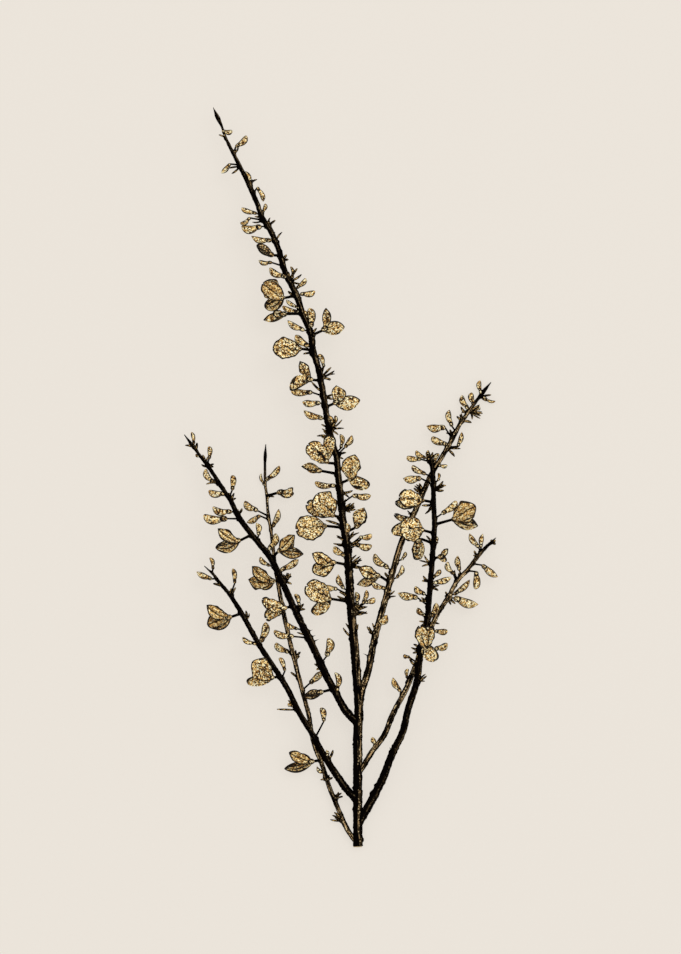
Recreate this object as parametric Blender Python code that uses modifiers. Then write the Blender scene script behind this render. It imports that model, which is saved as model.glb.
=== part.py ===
"""A cut spray of dried broom in bloom, lying on a table.

One main stem carries six side stems. Every stem is one piece with its buds, its tufts of small leaves and the stalks
of its blooms. Each of the 31 blooms is a piece of its own: a calyx with its petals standing out of it.

Metres, +Z up. The spray lies along +Y, its cut end at -Y, and the origin is on the table under the middle of its
box. The growth is written in millimetres from that middle: x to the right, y towards the tips, z above the table.
"""

import math
import random

import bmesh
import bpy
from mathutils import Matrix, Vector

MM = 0.001
SEED = 41

GAP = 0.3
"""Clear space left between a bloom and its stalk, and between a side stem and the main stem."""

STEM_STEP = 12.0
"""The distance between a stem's rings, where its route gives no nearer points."""

MAIN_STEM_SIDES = 8
SIDE_STEM_SIDES = 6
GROWTH_SIDES = 4

TABLE_SIZE = Vector((0.5, 0.5, 0.01))
TABLE_CLEARANCE = 0.3
"""How high over the table the lowest buds and leaves end."""

BUD_STALK_RADIUS = 0.4
BUD_STALK_DROP = 0.6
BUD_RISE = (-0.8, 1.2)
BUD_TIP_RISE = (-1.0, 1.6)
BUD_SAG = 0.12
BUD_PROFILE = [(0.0, 0.5), (0.42, 1.1), (0.82, 0.85), (1.0, 0.0)]
"""A bud's girth along its length, as shares of its length and of its radius."""

BLOOM_STALK_RADIUS = 0.5
BLOOM_STALK_DROP = 0.25

LEAF_RADIUS = 0.5
LEAF_FAN = 42.0
LEAF_SWAY = 5.0
LEAF_LENGTHS = (0.88, 1.08)
LEAF_RISE = (-0.35, 0.5)
LEAF_DROP = 0.2
LEAF_ROOT_DEPTH = 0.9

THORN_RADIUS = 0.5
THORN_LENGTH = 2.0
THORN_RISE = 0.3

LEAST_TIP = 0.1
"""The least thickness of a stem at its tip."""

PETAL_THICKNESS = 0.65
PETAL_ROWS = 3
OPEN_COLUMNS = 4
FOLDED_COLUMNS = 2
PETAL_CLAW = 0.18
PETAL_ROUNDING = 0.10
PETAL_ARCH = 0.10
PETAL_CURL = 0.10
PETAL_SWAY = 0.4
PETAL_BENDS = (0.8, 1.25)

CALYX_SIDES = 4
CALYX_LENGTH = 3.2
CALYX_RADIUS = 1.3
CALYX_PROFILE = [(0.0, 0.45), (0.45, 1.0), (1.0, 0.6)]
"""The calyx's girth along its length, as shares of its length and of its radius."""

PETAL_ROOT = 0.6
"""How far along the calyx the petals stand, as a share of its length."""

WELD_DISTANCE = 1e-6
"""A tube's caps are welded to its wall where they meet, within this many metres."""

MERGE_DISTANCE = 5e-7
"""After a joint or a cut, an edge shorter than this many metres is closed up."""

SHARP_ANGLE = math.radians(50)

BARK_ROUGHNESS = 0.6
PETAL_ROUGHNESS = 0.45
PETAL_METALLIC = 0.3

DARK_BARK = (0.030, 0.020, 0.012, 1.0)
BROWN_BARK = (0.095, 0.055, 0.025, 1.0)
GOLD_PETAL = (0.52, 0.36, 0.14, 1.0)
BROWN_PETAL = (0.30, 0.19, 0.07, 1.0)
BROWN_BLOOMS = {"main_bloom_01", "left_inner_bloom_05", "left_thin_bloom_01"}

# Centre lines from the cut end or the fork to the tip: x, y, z, thickness.
MAIN_ROUTE = [
    (8.3, -184.9, 2.05, 4.5), (8.3, -161.0, 3.6, 4.4), (8.3, -130.0, 6.4, 4.3), (8.8, -114.0, 7.8, 4.2),
    (6.9, -87.0, 10.0, 4.1), (5.5, -70.5, 11.2, 4.0), (4.3, -52.5, 12.4, 3.8), (3.5, -38.5, 13.2, 3.6),
    (1.0, -21.5, 14.0, 3.3), (-1.3, 1.0, 14.8, 3.0), (-2.3, 10.0, 15.0, 2.8), (-5.0, 20.0, 15.2, 2.8),
    (-7.8, 34.0, 15.4, 2.8), (-9.2, 43.5, 15.5, 2.8), (-11.4, 54.5, 15.5, 2.8), (-13.9, 63.0, 15.5, 2.8),
    (-15.3, 72.0, 15.4, 2.8), (-18.8, 80.5, 15.2, 2.8), (-22.3, 90.5, 15.0, 2.7), (-27.8, 102.0, 14.6, 2.6),
    (-31.2, 113.5, 14.2, 2.5), (-34.7, 122.0, 13.8, 2.4), (-39.3, 129.5, 13.4, 2.3), (-42.7, 138.5, 12.9, 2.2),
    (-49.2, 152.5, 12.0, 1.9), (-54.8, 163.5, 11.1, 1.5), (-57.6, 169.5, 10.6, 1.2), (-59.5, 175.0, 10.2, 1.0),
    (-61.6, 179.5, 9.8, 1.3), (-64.0, 185.0, 9.3, 0.1),
]
LEFT_OUTER_ROUTE = [
    (8.3, -164.5, 3.4, 2.2), (6.7, -160.8, 3.9, 3.2), (2.8, -156.3, 4.8, 3.6), (-2.2, -149.4, 6.2, 3.3),
    (-9.9, -137.2, 8.2, 2.9), (-13.4, -130.2, 9.0, 2.7), (-20.3, -119.0, 10.0, 2.5), (-26.8, -106.0, 10.8, 2.5),
    (-34.0, -94.5, 11.2, 2.4), (-41.2, -83.5, 11.2, 2.3), (-48.7, -69.8, 10.8, 2.2), (-52.2, -64.0, 10.5, 2.0),
    (-56.4, -57.9, 10.0, 1.7), (-60.6, -53.0, 9.4, 1.5), (-63.6, -49.1, 8.9, 1.2), (-68.4, -44.5, 8.0, 0.3),
]
LEFT_INNER_ROUTE = [
    (8.7, -125.0, 6.9, 2.4), (6.4, -121.5, 7.3, 3.4), (2.3, -117.0, 8.0, 3.7), (-1.2, -110.9, 9.0, 3.3),
    (-7.6, -99.0, 10.8, 3.3), (-13.4, -86.4, 12.4, 3.3), (-20.3, -72.2, 13.7, 3.1), (-25.3, -61.5, 14.3, 3.0),
    (-30.8, -49.2, 14.8, 2.9), (-33.9, -42.8, 14.9, 2.8), (-37.8, -37.0, 14.9, 2.7), (-42.6, -31.2, 14.8, 2.6),
    (-50.5, -20.8, 14.2, 2.4), (-55.2, -11.7, 13.4, 2.0), (-59.0, -6.0, 12.8, 1.9), (-65.2, 3.6, 11.8, 1.7),
    (-68.6, 8.2, 11.2, 1.5), (-72.1, 12.8, 10.6, 1.2), (-78.4, 21.2, 9.4, 0.3),
]
LEFT_THIN_ROUTE = [
    (8.3, -183.6, 2.1, 1.2), (6.8, -182.0, 2.15, 2.0), (2.8, -176.0, 2.3, 2.3), (-0.3, -169.0, 2.6, 2.2),
    (-3.2, -162.0, 2.9, 2.1), (-5.8, -155.5, 3.1, 2.0), (-9.9, -143.0, 3.3, 2.0), (-12.4, -137.2, 3.3, 2.0),
    (-14.4, -130.2, 3.4, 2.0), (-16.1, -119.4, 3.5, 2.0), (-19.2, -107.9, 3.7, 2.0), (-22.6, -94.4, 3.9, 2.0),
    (-25.6, -82.2, 4.0, 2.0), (-28.0, -71.7, 4.0, 2.0), (-29.6, -64.0, 4.0, 2.0), (-31.1, -55.2, 3.9, 1.9),
    (-33.0, -44.0, 3.7, 1.7), (-34.5, -31.2, 3.2, 1.5), (-36.5, -17.5, 2.4, 1.3), (-37.2, -9.8, 1.7, 1.2),
    (-38.0, -2.0, 1.0, 1.2), (-38.1, 5.5, 0.4, 1.1), (-38.0, 10.0, 0.5, 0.9), (-37.7, 16.4, 0.9, 0.3),
]
RIGHT_UPRIGHT_ROUTE = [
    (8.3, -175.5, 2.9, 2.4), (9.9, -171.5, 3.2, 3.6), (16.9, -158.9, 5.0, 3.9), (21.7, -148.7, 7.0, 3.6),
    (25.8, -137.9, 9.0, 3.3), (30.8, -127.5, 10.6, 3.2), (33.5, -116.2, 12.0, 3.2), (38.0, -101.5, 13.4, 3.1),
    (39.7, -86.2, 14.4, 3.0), (41.5, -79.0, 14.8, 2.8), (43.2, -71.0, 15.1, 2.6), (44.0, -61.5, 15.4, 2.5),
    (46.0, -36.5, 16.0, 2.4), (46.7, -24.0, 16.0, 2.3), (46.3, -11.5, 15.8, 2.2), (46.0, 1.0, 15.4, 2.1),
    (45.2, 7.5, 15.0, 1.9), (43.8, 13.0, 14.6, 0.4),
]
RIGHT_OUTER_ROUTE = [
    (8.3, -149.5, 4.7, 1.4), (10.7, -145.5, 5.0, 2.3), (15.5, -137.5, 5.4, 2.5), (21.4, -129.5, 5.6, 2.5),
    (26.5, -117.5, 5.8, 2.5), (32.8, -105.5, 6.0, 2.4), (40.5, -86.5, 6.2, 2.3), (46.6, -72.0, 6.2, 2.2),
    (49.6, -66.5, 6.2, 2.1), (53.8, -60.0, 6.0, 2.0), (57.9, -52.5, 5.8, 1.9), (63.5, -46.2, 5.5, 1.8),
    (68.8, -39.4, 5.2, 1.7), (73.8, -34.0, 4.9, 1.4), (77.6, -30.4, 4.6, 0.3),
]
RIGHT_INNER_ROUTE = [
    (8.7, -121.0, 7.2, 1.8), (9.2, -116.0, 7.7, 2.4), (10.9, -105.5, 8.4, 3.1), (13.7, -96.5, 8.7, 3.2),
    (16.4, -82.5, 8.8, 3.1), (18.6, -74.0, 8.8, 3.0), (22.1, -61.5, 8.6, 2.9), (25.0, -50.5, 8.3, 2.8),
    (29.8, -34.0, 7.8, 2.7), (33.5, -25.5, 7.5, 2.6), (36.7, -18.0, 7.2, 2.5), (42.8, -4.0, 6.4, 2.3),
    (45.0, 1.0, 6.0, 2.2), (49.0, 7.5, 5.3, 2.1), (55.8, 19.0, 3.8, 2.0), (59.7, 26.7, 2.8, 1.8),
    (63.5, 32.0, 2.0, 1.6), (67.4, 37.5, 1.2, 1.4), (71.2, 42.5, 0.5, 1.2), (75.2, 47.5, 0.7, 0.3),
]

# Buds: x and y of the base, how far the tip lies from it in x and in y, thickness.
MAIN_BUDS = [
    (-59.2, 173.0, 5.0, 0.0, 2.5), (-52.5, 165.0, 5.4, 5.6, 3.0), (-55.5, 156.5, -4.5, -4.6, 2.5),
    (-45.0, 146.4, -2.8, 6.5, 2.0), (-41.8, 144.7, 3.0, -7.0, 2.5), (-39.1, 132.4, 1.4, 4.2, 2.0),
    (-42.2, 131.7, -7.6, 2.6, 2.5), (-45.5, 129.5, -4.8, -3.0, 2.5), (-40.0, 125.2, -9.8, -0.2, 4.0),
    (-34.9, 118.2, -9.9, 2.3, 3.2), (-34.7, 107.2, -6.5, 1.0, 2.5), (-27.6, 99.9, -8.2, 4.6, 3.5),
    (-24.2, 99.5, -1.0, 5.8, 1.5), (-22.0, 94.5, 4.6, 4.6, 2.5), (-20.2, 91.4, 7.3, 1.2, 3.0),
    (-21.3, 84.5, -6.0, 3.9, 2.0), (-21.3, 82.5, -8.0, 2.8, 2.5), (-18.5, 73.3, -8.2, 5.0, 3.2),
    (-16.4, 65.3, -6.4, 5.6, 4.0), (-16.9, 78.3, -1.6, 4.9, 2.0), (-14.8, 75.1, -0.9, 9.3, 4.0),
    (-8.5, 55.1, -2.6, 6.3, 2.5), (-14.5, 42.3, -10.5, 0.7, 3.5), (-10.6, 37.0, -8.7, 0.4, 3.5),
    (-9.2, 29.3, -9.5, 4.0, 3.5), (-3.9, 25.5, -2.5, 5.5, 2.0), (-3.7, 25.5, 1.0, 5.2, 2.0),
    (0.0, 14.5, -0.4, 7.0, 2.5), (2.0, 14.9, 3.5, 6.0, 3.0), (-2.7, -4.4, -10.4, 1.6, 3.2),
    (6.0, -9.3, 9.0, 0.0, 3.5), (2.9, -29.0, 0.0, 6.0, 2.8), (9.2, -30.3, 6.3, 1.2, 3.0),
    (7.5, -33.8, 8.0, -0.7, 3.5), (1.7, -39.2, -5.4, 4.4, 3.5), (1.2, -55.7, -2.6, 7.0, 3.0),
    (-2.0, -56.0, -6.0, 2.0, 3.0), (7.9, -63.8, -0.5, 6.3, 2.5), (11.0, -63.0, 1.8, 6.5, 2.5),
    (12.4, -62.7, 4.8, 1.7, 3.0),
]
LEFT_OUTER_BUDS = [
    (-64.8, -51.0, -7.5, 3.6, 3.0), (-64.0, -46.0, -1.6, 5.7, 2.0), (-53.1, -53.0, -1.0, 7.3, 2.5),
    (-42.6, -83.5, -6.7, 3.4, 2.5), (-39.9, -82.4, 2.3, 9.8, 4.0), (-28.0, -96.8, -2.7, 6.5, 2.5),
    (-24.5, -114.5, -2.1, 1.3, 2.0), (-8.5, -122.0, -1.5, 6.7, 3.0), (-7.0, -140.5, -0.3, 4.0, 2.0),
]
LEFT_INNER_BUDS = [
    (-73.6, 16.7, -1.2, 5.8, 2.0), (-70.3, 10.2, -2.5, 1.2, 1.5), (-65.8, 9.3, 0.0, 6.0, 2.5),
    (-64.0, -2.9, -3.7, 6.9, 3.0), (-54.3, -6.3, 0.2, 7.2, 3.0), (-58.1, -8.4, -8.2, 1.3, 3.5),
    (-54.8, -17.4, -9.4, 2.3, 3.5), (-57.1, -20.8, -11.7, 1.3, 4.5), (-41.1, -28.9, -1.2, 6.0, 3.0),
    (-36.1, -36.3, 3.6, 8.1, 3.5), (-30.1, -46.6, 8.8, 5.5, 3.5), (-35.8, -44.3, -4.7, 4.3, 2.5),
    (-20.8, -64.0, -2.3, 5.5, 2.5), (-22.0, -75.9, -5.2, 2.9, 2.5), (-23.8, -79.7, -9.8, 2.7, 3.5),
    (-7.1, -89.5, 1.0, 9.0, 4.0), (-1.9, -107.1, -1.0, 9.4, 3.0),
]
LEFT_THIN_BUDS = [
    (-37.6, -1.7, 6.9, 7.3, 3.0), (-38.4, -4.0, -1.6, 5.7, 1.5), (-41.9, -16.8, -6.5, 4.6, 3.5),
    (-40.7, -19.4, -6.5, -3.4, 3.0), (-34.2, -25.0, 3.0, 9.0, 3.0), (-26.2, -87.7, -6.9, 4.2, 3.5),
    (-15.5, -103.2, 5.9, 5.7, 3.5), (-8.0, -148.7, -4.1, 3.8, 2.0),
]
RIGHT_UPRIGHT_BUDS = [
    (42.1, 9.5, -4.8, 3.5, 2.5), (39.8, 8.9, -7.1, 0.8, 3.0), (44.0, 8.4, -0.4, 5.0, 2.0),
    (49.2, 5.7, 3.9, 0.0, 2.0), (42.1, 1.5, -6.7, 4.0, 3.0), (39.8, -0.6, -8.8, -0.2, 4.0),
    (48.7, -1.5, 0.0, 3.5, 1.5), (50.5, -18.3, 7.4, 6.1, 3.5), (47.8, -33.0, 0.0, 3.5, 1.5),
    (46.3, -50.0, 3.6, 3.7, 2.5), (46.3, -53.0, 8.8, 3.0, 3.2), (38.1, -60.2, -9.7, 2.2, 4.0),
    (41.8, -58.5, -5.0, 3.7, 3.0), (42.0, -69.4, -3.9, 4.0, 2.8), (45.0, -69.8, 2.7, 6.9, 3.5),
    (47.3, -77.0, 6.0, 0.0, 3.0), (47.0, -85.9, 6.3, 2.7, 3.5), (34.0, -90.0, -2.8, 1.1, 2.0),
]
RIGHT_OUTER_BUDS = [
    (29.7, -107.2, -3.7, 6.8, 3.0), (33.0, -100.5, 0.5, 4.5, 2.0), (17.5, -134.0, -2.0, 3.8, 2.5),
    (56.2, -48.5, -3.1, 5.9, 3.0), (59.3, -46.7, -0.8, 7.3, 3.0), (56.7, -58.8, 7.8, 7.4, 3.0),
    (56.7, -60.5, 12.0, -3.3, 4.6), (68.9, -35.2, -4.6, 6.9, 3.0), (70.0, -35.2, 1.0, 6.7, 2.5),
    (70.8, -44.2, 7.7, -5.9, 3.5), (67.7, -47.4, -0.3, -8.8, 3.5),
]
RIGHT_INNER_BUDS = [
    (21.9, -55.7, -6.3, 2.8, 3.0), (23.6, -45.5, -7.0, 7.0, 3.5), (18.5, -74.0, 4.6, 5.0, 4.0),
    (27.9, -50.4, 2.7, 6.3, 2.5), (30.6, -41.2, 1.9, 3.8, 2.0), (70.0, 42.2, -0.4, 6.2, 2.5),
    (66.4, 36.3, -1.1, 6.1, 3.0), (63.5, 34.3, -2.9, 6.7, 3.0), (67.5, 33.5, 2.0, 2.0, 2.0),
    (55.5, 25.5, -1.3, 8.1, 3.0), (52.0, 24.8, -9.2, 0.7, 4.0), (53.0, 16.2, -7.8, 3.5, 3.5),
    (58.5, 15.3, 2.0, 7.2, 2.5), (71.5, 40.0, 5.8, -2.2, 1.5), (46.7, 7.2, 2.1, 4.6, 2.5),
]

# Tufts of leaves: x and y of the foot, heading in degrees from +X, number of leaves, their length.
MAIN_TUFTS = [
    (-58.0, 169.0, 146, 1, 3.6), (-53.2, 162.4, 50, 1, 3.0), (-53.5, 154.5, 180, 1, 3.0), (-44.0, 146.5, 45, 1, 3.0),
    (-40.5, 127.5, 180, 1, 3.6), (-36.2, 126.0, 60, 2, 4.2), (-31.6, 118.0, 85, 2, 5.0), (-28.3, 108.3, 70, 1, 3.4),
    (-24.1, 99.5, 40, 2, 5.0), (-23.6, 90.3, 137, 1, 4.0), (-15.0, 71.5, 45, 1, 4.0), (-16.0, 61.5, 180, 1, 3.0),
    (-8.3, 50.2, 30, 3, 5.8), (-12.0, 42.5, 120, 1, 5.5), (-6.0, 41.0, 10, 1, 3.0), (-3.9, 24.4, 20, 2, 6.0),
    (-6.0, 24.4, 150, 1, 4.4), (-5.7, 20.2, 155, 2, 6.0), (-1.3, 11.0, 20, 1, 4.0), (2.5, -6.5, 0, 1, 3.2),
    (2.2, -15.6, 10, 4, 4.8), (-1.3, -24.8, 155, 1, 6.5), (3.0, -33.2, 160, 2, 7.0), (4.0, -33.2, 42, 3, 7.0),
    (5.4, -43.8, 40, 4, 5.6), (3.2, -61.3, 140, 3, 5.5), (7.2, -68.4, 20, 4, 6.5), (5.4, -80.6, 113, 2, 7.5),
]
LEFT_OUTER_TUFTS = [
    (-60.2, -55.2, 153, 1, 4.7), (-53.7, -58.5, 90, 2, 3.2), (-47.5, -71.7, 88, 1, 4.6), (-23.0, -117.0, 175, 1, 9.0),
    (-5.4, -141.0, 70, 1, 4.4),
]
LEFT_INNER_TUFTS = [
    (-74.4, 14.5, 157, 1, 3.5), (-72.1, 14.0, 90, 1, 3.6), (-66.4, 8.6, 137, 1, 3.9), (-66.7, 5.5, 165, 1, 3.2),
    (-66.7, 5.5, 17, 1, 3.2), (-64.0, -3.5, 180, 1, 3.2), (-54.5, -11.0, 95, 2, 3.6), (-51.0, -18.5, 64, 1, 3.0),
    (-27.6, -51.5, 55, 4, 4.0), (-21.2, -66.0, 20, 2, 3.6), (-10.8, -96.4, 135, 1, 3.7), (-19.3, -80.0, 138, 1, 3.7),
]
LEFT_THIN_TUFTS = [
    (-36.2, -10.0, 0, 1, 3.0), (-22.2, -90.7, 75, 2, 3.9), (-22.2, -101.0, 133, 1, 4.5), (-7.7, -150.6, 200, 1, 3.2),
    (-7.2, -150.6, 0, 1, 3.0), (-3.2, -160.8, 35, 3, 4.0), (-1.0, -172.3, 145, 3, 4.7),
]
RIGHT_UPRIGHT_TUFTS = [
    (45.0, 8.0, 100, 2, 5.0), (45.9, -14.0, 205, 2, 6.0), (48.2, -5.4, 32, 2, 4.5), (44.7, -32.8, 124, 1, 4.1),
    (44.3, -43.2, 145, 2, 5.5), (44.0, -52.0, 142, 1, 3.7), (45.9, -55.5, 20, 1, 3.4), (43.0, -62.0, 180, 1, 4.0),
    (42.5, -73.0, 160, 1, 3.4), (43.5, -73.0, -5, 1, 5.6), (38.9, -86.2, 190, 2, 4.0), (37.0, -94.6, 105, 2, 5.5),
    (39.5, -102.5, 60, 3, 5.0),
]
RIGHT_OUTER_TUFTS = [
    (75.0, -33.0, 5, 2, 2.6), (68.0, -39.5, 117, 1, 2.8), (54.0, -60.0, 122, 1, 3.0), (54.0, -60.5, -44, 1, 4.2),
    (58.0, -50.5, 106, 1, 3.8),
]
RIGHT_INNER_TUFTS = [
    (39.8, -7.2, 120, 3, 4.0), (35.5, -19.0, 135, 1, 3.2), (24.1, -50.0, 135, 1, 3.2), (23.2, -60.2, 25, 2, 4.7),
    (15.6, -77.8, 110, 2, 4.5), (71.0, 40.1, 13, 1, 4.9), (62.8, 32.5, 133, 1, 4.0), (65.8, 32.5, -20, 4, 5.0),
    (60.5, 28.6, 120, 2, 3.2), (62.0, 27.5, -9, 1, 3.7), (55.9, 21.4, 165, 1, 3.4), (54.0, 14.1, 2, 1, 5.7),
]

# Short thorns: x and y of the foot, heading in degrees from +X.
THORNS = {
    "left_inner": [(-16.0, -77.0, 20), (-14.5, -79.5, 15), (-12.8, -81.5, 15)],
    "right_upright": [(24.5, -137.0, 100), (15.8, -158.5, 120)],
    "right_inner": [(17.2, -83.0, 50), (12.6, -89.5, 140)],
}

# A petal of each kind: how much of the calyx's radius its foot stands over the middle, how far its tip rises over its
# foot, its bend, where it is widest and how broad its end is. An open petal turns about its length by its bend. A
# folded one is a boat of two flanks that open by its bend, with its fold down the stem (belly -1) or up it (belly 1).
PETAL_FORMS = {
    "banner": {"foot": 0.6, "rise": 2.4, "bend": 13.0, "widest": 0.58, "end": 0.66},
    "wing": {"foot": -0.1, "rise": 0.2, "bend": 4.0, "widest": 0.60, "end": 0.55},
    "keel": {"foot": -0.5, "rise": -0.8, "bend": 30.0, "belly": -1, "widest": 0.50, "end": 0.22},
    "hood": {"foot": 0.5, "rise": 0.6, "bend": 30.0, "belly": 1, "widest": 0.50, "end": 0.30},
}

# Blooms, each on its stem: x and y of the calyx, how far it stands over the stem, then its petals: kind, how far the
# tip lies from the calyx in x and in y, width.
MAIN_BLOOMS = [
    ((-33.5, 110.8), 0.5, [("hood", -8.6, 5.2, 4.2), ("keel", -8.0, 3.6, 3.0)]),
    ((-28.0, 89.5), 2.0, [("banner", -11.2, 7.2, 10.0), ("keel", -10.0, -5.0, 7.0)]),
    ((-27.0, 81.5), -2.0, [("wing", -7.2, 0.3, 4.0), ("keel", -11.9, -3.0, 4.5)]),
    ((-19.5, 64.0), 1.0, [("banner", -14.7, 0.0, 10.5), ("keel", -12.0, -2.0, 6.0)]),
    ((-9.7, 73.0), 0.5, [("wing", 2.2, 11.6, 4.5), ("keel", 11.5, 2.1, 7.0)]),
    ((-14.0, 48.5), 1.6, [("wing", -6.6, 9.5, 5.0), ("hood", -11.5, -5.0, 6.0)]),
    ((-4.0, 36.5), 0.5, [("banner", 1.5, 9.3, 7.0), ("keel", 13.6, 2.0, 7.5)]),
    ((-6.4, 7.0), 4.5, [("wing", 1.4, 14.2, 7.0), ("banner", -10.3, 9.4, 10.0)]),
    ((-9.5, 3.0), -1.5, [("hood", -10.4, 2.2, 4.0), ("keel", -8.0, 1.0, 3.0)]),
    ((3.5, -1.5), 1.5, [("banner", 3.5, 12.8, 9.7), ("keel", 10.8, -3.0, 6.5)]),
    ((-3.0, -19.5), 1.5, [("banner", -9.1, 11.2, 12.0), ("wing", -14.5, 6.0, 8.0)]),
    ((-7.0, -24.5), 1.0, [("banner", -15.7, -2.0, 12.5), ("keel", -13.0, -4.0, 7.0)]),
    ((6.8, -25.5), 1.0, [("hood", 4.9, 10.2, 7.0), ("wing", 6.0, 7.0, 4.0)]),
    ((-2.4, -42.8), 1.0, [("banner", -12.2, 4.8, 6.5), ("wing", -12.4, -3.8, 6.5), ("keel", -7.4, -7.0, 5.0)]),
    ((-4.5, -61.0), 1.5, [("banner", -13.1, 7.0, 11.0), ("keel", -9.9, -7.2, 6.5)]),
]
LEFT_OUTER_BLOOMS = [
    ((-54.5, -69.8), 1.0, [("banner", -12.7, 5.8, 6.5), ("wing", -12.7, -3.9, 6.0), ("keel", -8.7, -6.1, 5.0)]),
    ((-33.3, -100.2), 1.0, [("banner", -11.1, 8.1, 11.0), ("keel", -13.9, -2.3, 5.5)]),
]
LEFT_INNER_BLOOMS = [
    ((-31.7, -37.5), 1.0, [("banner", 8.6, 8.6, 7.0), ("keel", 13.1, -1.0, 6.0)]),
    ((-50.0, -31.5), 0.5, [("banner", -11.6, 5.8, 6.0), ("keel", -12.7, -4.0, 6.5)]),
    ((-32.7, -52.0), 1.0, [("banner", -11.8, 7.5, 6.5), ("wing", -13.7, 1.0, 5.5), ("keel", -7.3, -3.8, 5.0)]),
    ((-26.9, -65.2), 1.0, [("banner", -12.6, 4.2, 6.5), ("wing", -10.9, -5.8, 6.5)]),
    ((-8.8, -107.3), 0.5, [("keel", -10.3, -2.5, 4.5), ("hood", -9.0, -1.5, 3.5)]),
]
LEFT_THIN_BLOOMS = [
    ((-13.4, -142.3), 2.5, [("banner", -12.7, 4.5, 6.0), ("keel", -15.0, -3.8, 5.5)]),
    ((-32.1, -8.0), 3.4, [("wing", 8.2, 2.6, 4.0), ("keel", 9.6, -1.5, 4.0)]),
]
RIGHT_UPRIGHT_BLOOMS = [
    ((41.7, -11.8), 1.5, [("banner", -13.0, 1.8, 9.0), ("wing", -14.8, -1.2, 5.5)]),
    ((41.7, -26.8), 2.0, [("banner", -12.3, 1.2, 13.0), ("keel", -16.6, -0.3, 7.5), ("wing", -15.2, 8.2, 4.0)]),
    ((40.2, -31.0), -2.0, [("keel", -2.2, -10.5, 6.0), ("wing", -3.4, -8.0, 4.0)]),
    ((55.1, -21.4), 0.5, [("banner", 12.2, 7.2, 10.5), ("keel", 13.4, -3.1, 7.0)]),
    ((48.3, -40.2), 1.0, [("wing", 5.2, 4.5, 3.0), ("keel", 4.5, -1.8, 3.0)]),
    ((41.5, -84.5), 5.8, [("banner", -3.5, 9.5, 5.5), ("wing", 4.0, 9.5, 5.5), ("keel", 7.4, -5.5, 6.5)]),
]
RIGHT_INNER_BLOOMS = [
    ((19.8, -49.8), -0.5, [("banner", -11.0, 4.5, 6.0), ("keel", -12.0, -4.0, 5.0)]),
]

STEMS = {
    "main": (MAIN_ROUTE, MAIN_BUDS, MAIN_TUFTS, MAIN_BLOOMS, DARK_BARK),
    "left_outer": (LEFT_OUTER_ROUTE, LEFT_OUTER_BUDS, LEFT_OUTER_TUFTS, LEFT_OUTER_BLOOMS, DARK_BARK),
    "left_inner": (LEFT_INNER_ROUTE, LEFT_INNER_BUDS, LEFT_INNER_TUFTS, LEFT_INNER_BLOOMS, DARK_BARK),
    "left_thin": (LEFT_THIN_ROUTE, LEFT_THIN_BUDS, LEFT_THIN_TUFTS, LEFT_THIN_BLOOMS, BROWN_BARK),
    "right_upright": (RIGHT_UPRIGHT_ROUTE, RIGHT_UPRIGHT_BUDS, RIGHT_UPRIGHT_TUFTS, RIGHT_UPRIGHT_BLOOMS, DARK_BARK),
    "right_outer": (RIGHT_OUTER_ROUTE, RIGHT_OUTER_BUDS, RIGHT_OUTER_TUFTS, [], BROWN_BARK),
    "right_inner": (RIGHT_INNER_ROUTE, RIGHT_INNER_BUDS, RIGHT_INNER_TUFTS, RIGHT_INNER_BLOOMS, BROWN_BARK),
}


def clear_scene():
    for thing in list(bpy.data.objects):
        bpy.data.objects.remove(thing, do_unlink=True)


def new_collection(name):
    group = bpy.data.collections.new(name)
    bpy.context.scene.collection.children.link(group)
    return group


def principled(name, colour, roughness, metallic):
    material = bpy.data.materials.new(name)
    material.use_nodes = True
    shader = material.node_tree.nodes["Principled BSDF"]
    shader.inputs["Base Color"].default_value = colour
    shader.inputs["Roughness"].default_value = roughness
    shader.inputs["Metallic"].default_value = metallic
    return material


def mesh_object(name, mesh, group):
    thing = bpy.data.objects.new(name, mesh)
    group.objects.link(thing)
    return thing


def evaluated_mesh(thing):
    graph = bpy.context.evaluated_depsgraph_get()
    return bpy.data.meshes.new_from_object(thing.evaluated_get(graph))


def tube(name, points, radii, sides, group):
    """A closed tube along the points, as thick as the radii say. Points and radii are in millimetres."""
    curve = bpy.data.curves.new(name, "CURVE")
    curve.dimensions = "3D"
    curve.bevel_depth = MM
    curve.bevel_resolution = (sides - 4) // 2
    curve.use_fill_caps = True
    spline = curve.splines.new("POLY")
    spline.points.add(len(points) - 1)
    for knot, point, radius in zip(spline.points, points, radii):
        knot.co = (*(point * MM), 1.0)
        knot.radius = radius
    guide = mesh_object(name + "_guide", curve, group)
    mesh = evaluated_mesh(guide)
    thing = mesh_object(name, mesh, group)
    thing.matrix_world = guide.matrix_world
    bpy.data.objects.remove(guide, do_unlink=True)
    shape = bmesh.new()
    shape.from_mesh(mesh)
    bmesh.ops.remove_doubles(shape, verts=shape.verts, dist=WELD_DISTANCE)
    bmesh.ops.recalc_face_normals(shape, faces=shape.faces)
    shape.to_mesh(mesh)
    shape.free()
    return thing


def smooth_route(route):
    """Points about one step apart on a smooth line through the route, and the radius at each."""
    points = []
    radii = []
    last = len(route) - 1
    for i in range(last):
        before, start, end, after = (Vector(route[j]) for j in (max(i - 1, 0), i, i + 1, min(i + 2, last)))
        pieces = max(1, round((end.xyz - start.xyz).length / STEM_STEP))
        for k in range(pieces):
            t = k / pieces
            knot = 0.5 * (
                2 * start
                + (end - before) * t
                + (2 * before - 5 * start + 4 * end - after) * t**2
                + (3 * start - before - 3 * end + after) * t**3
            )
            points.append(knot.xyz)
            radii.append(max(knot.w, LEAST_TIP) / 2)
    points.append(Vector(route[last][:3]))
    radii.append(route[last][3] / 2)
    return points, radii


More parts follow.
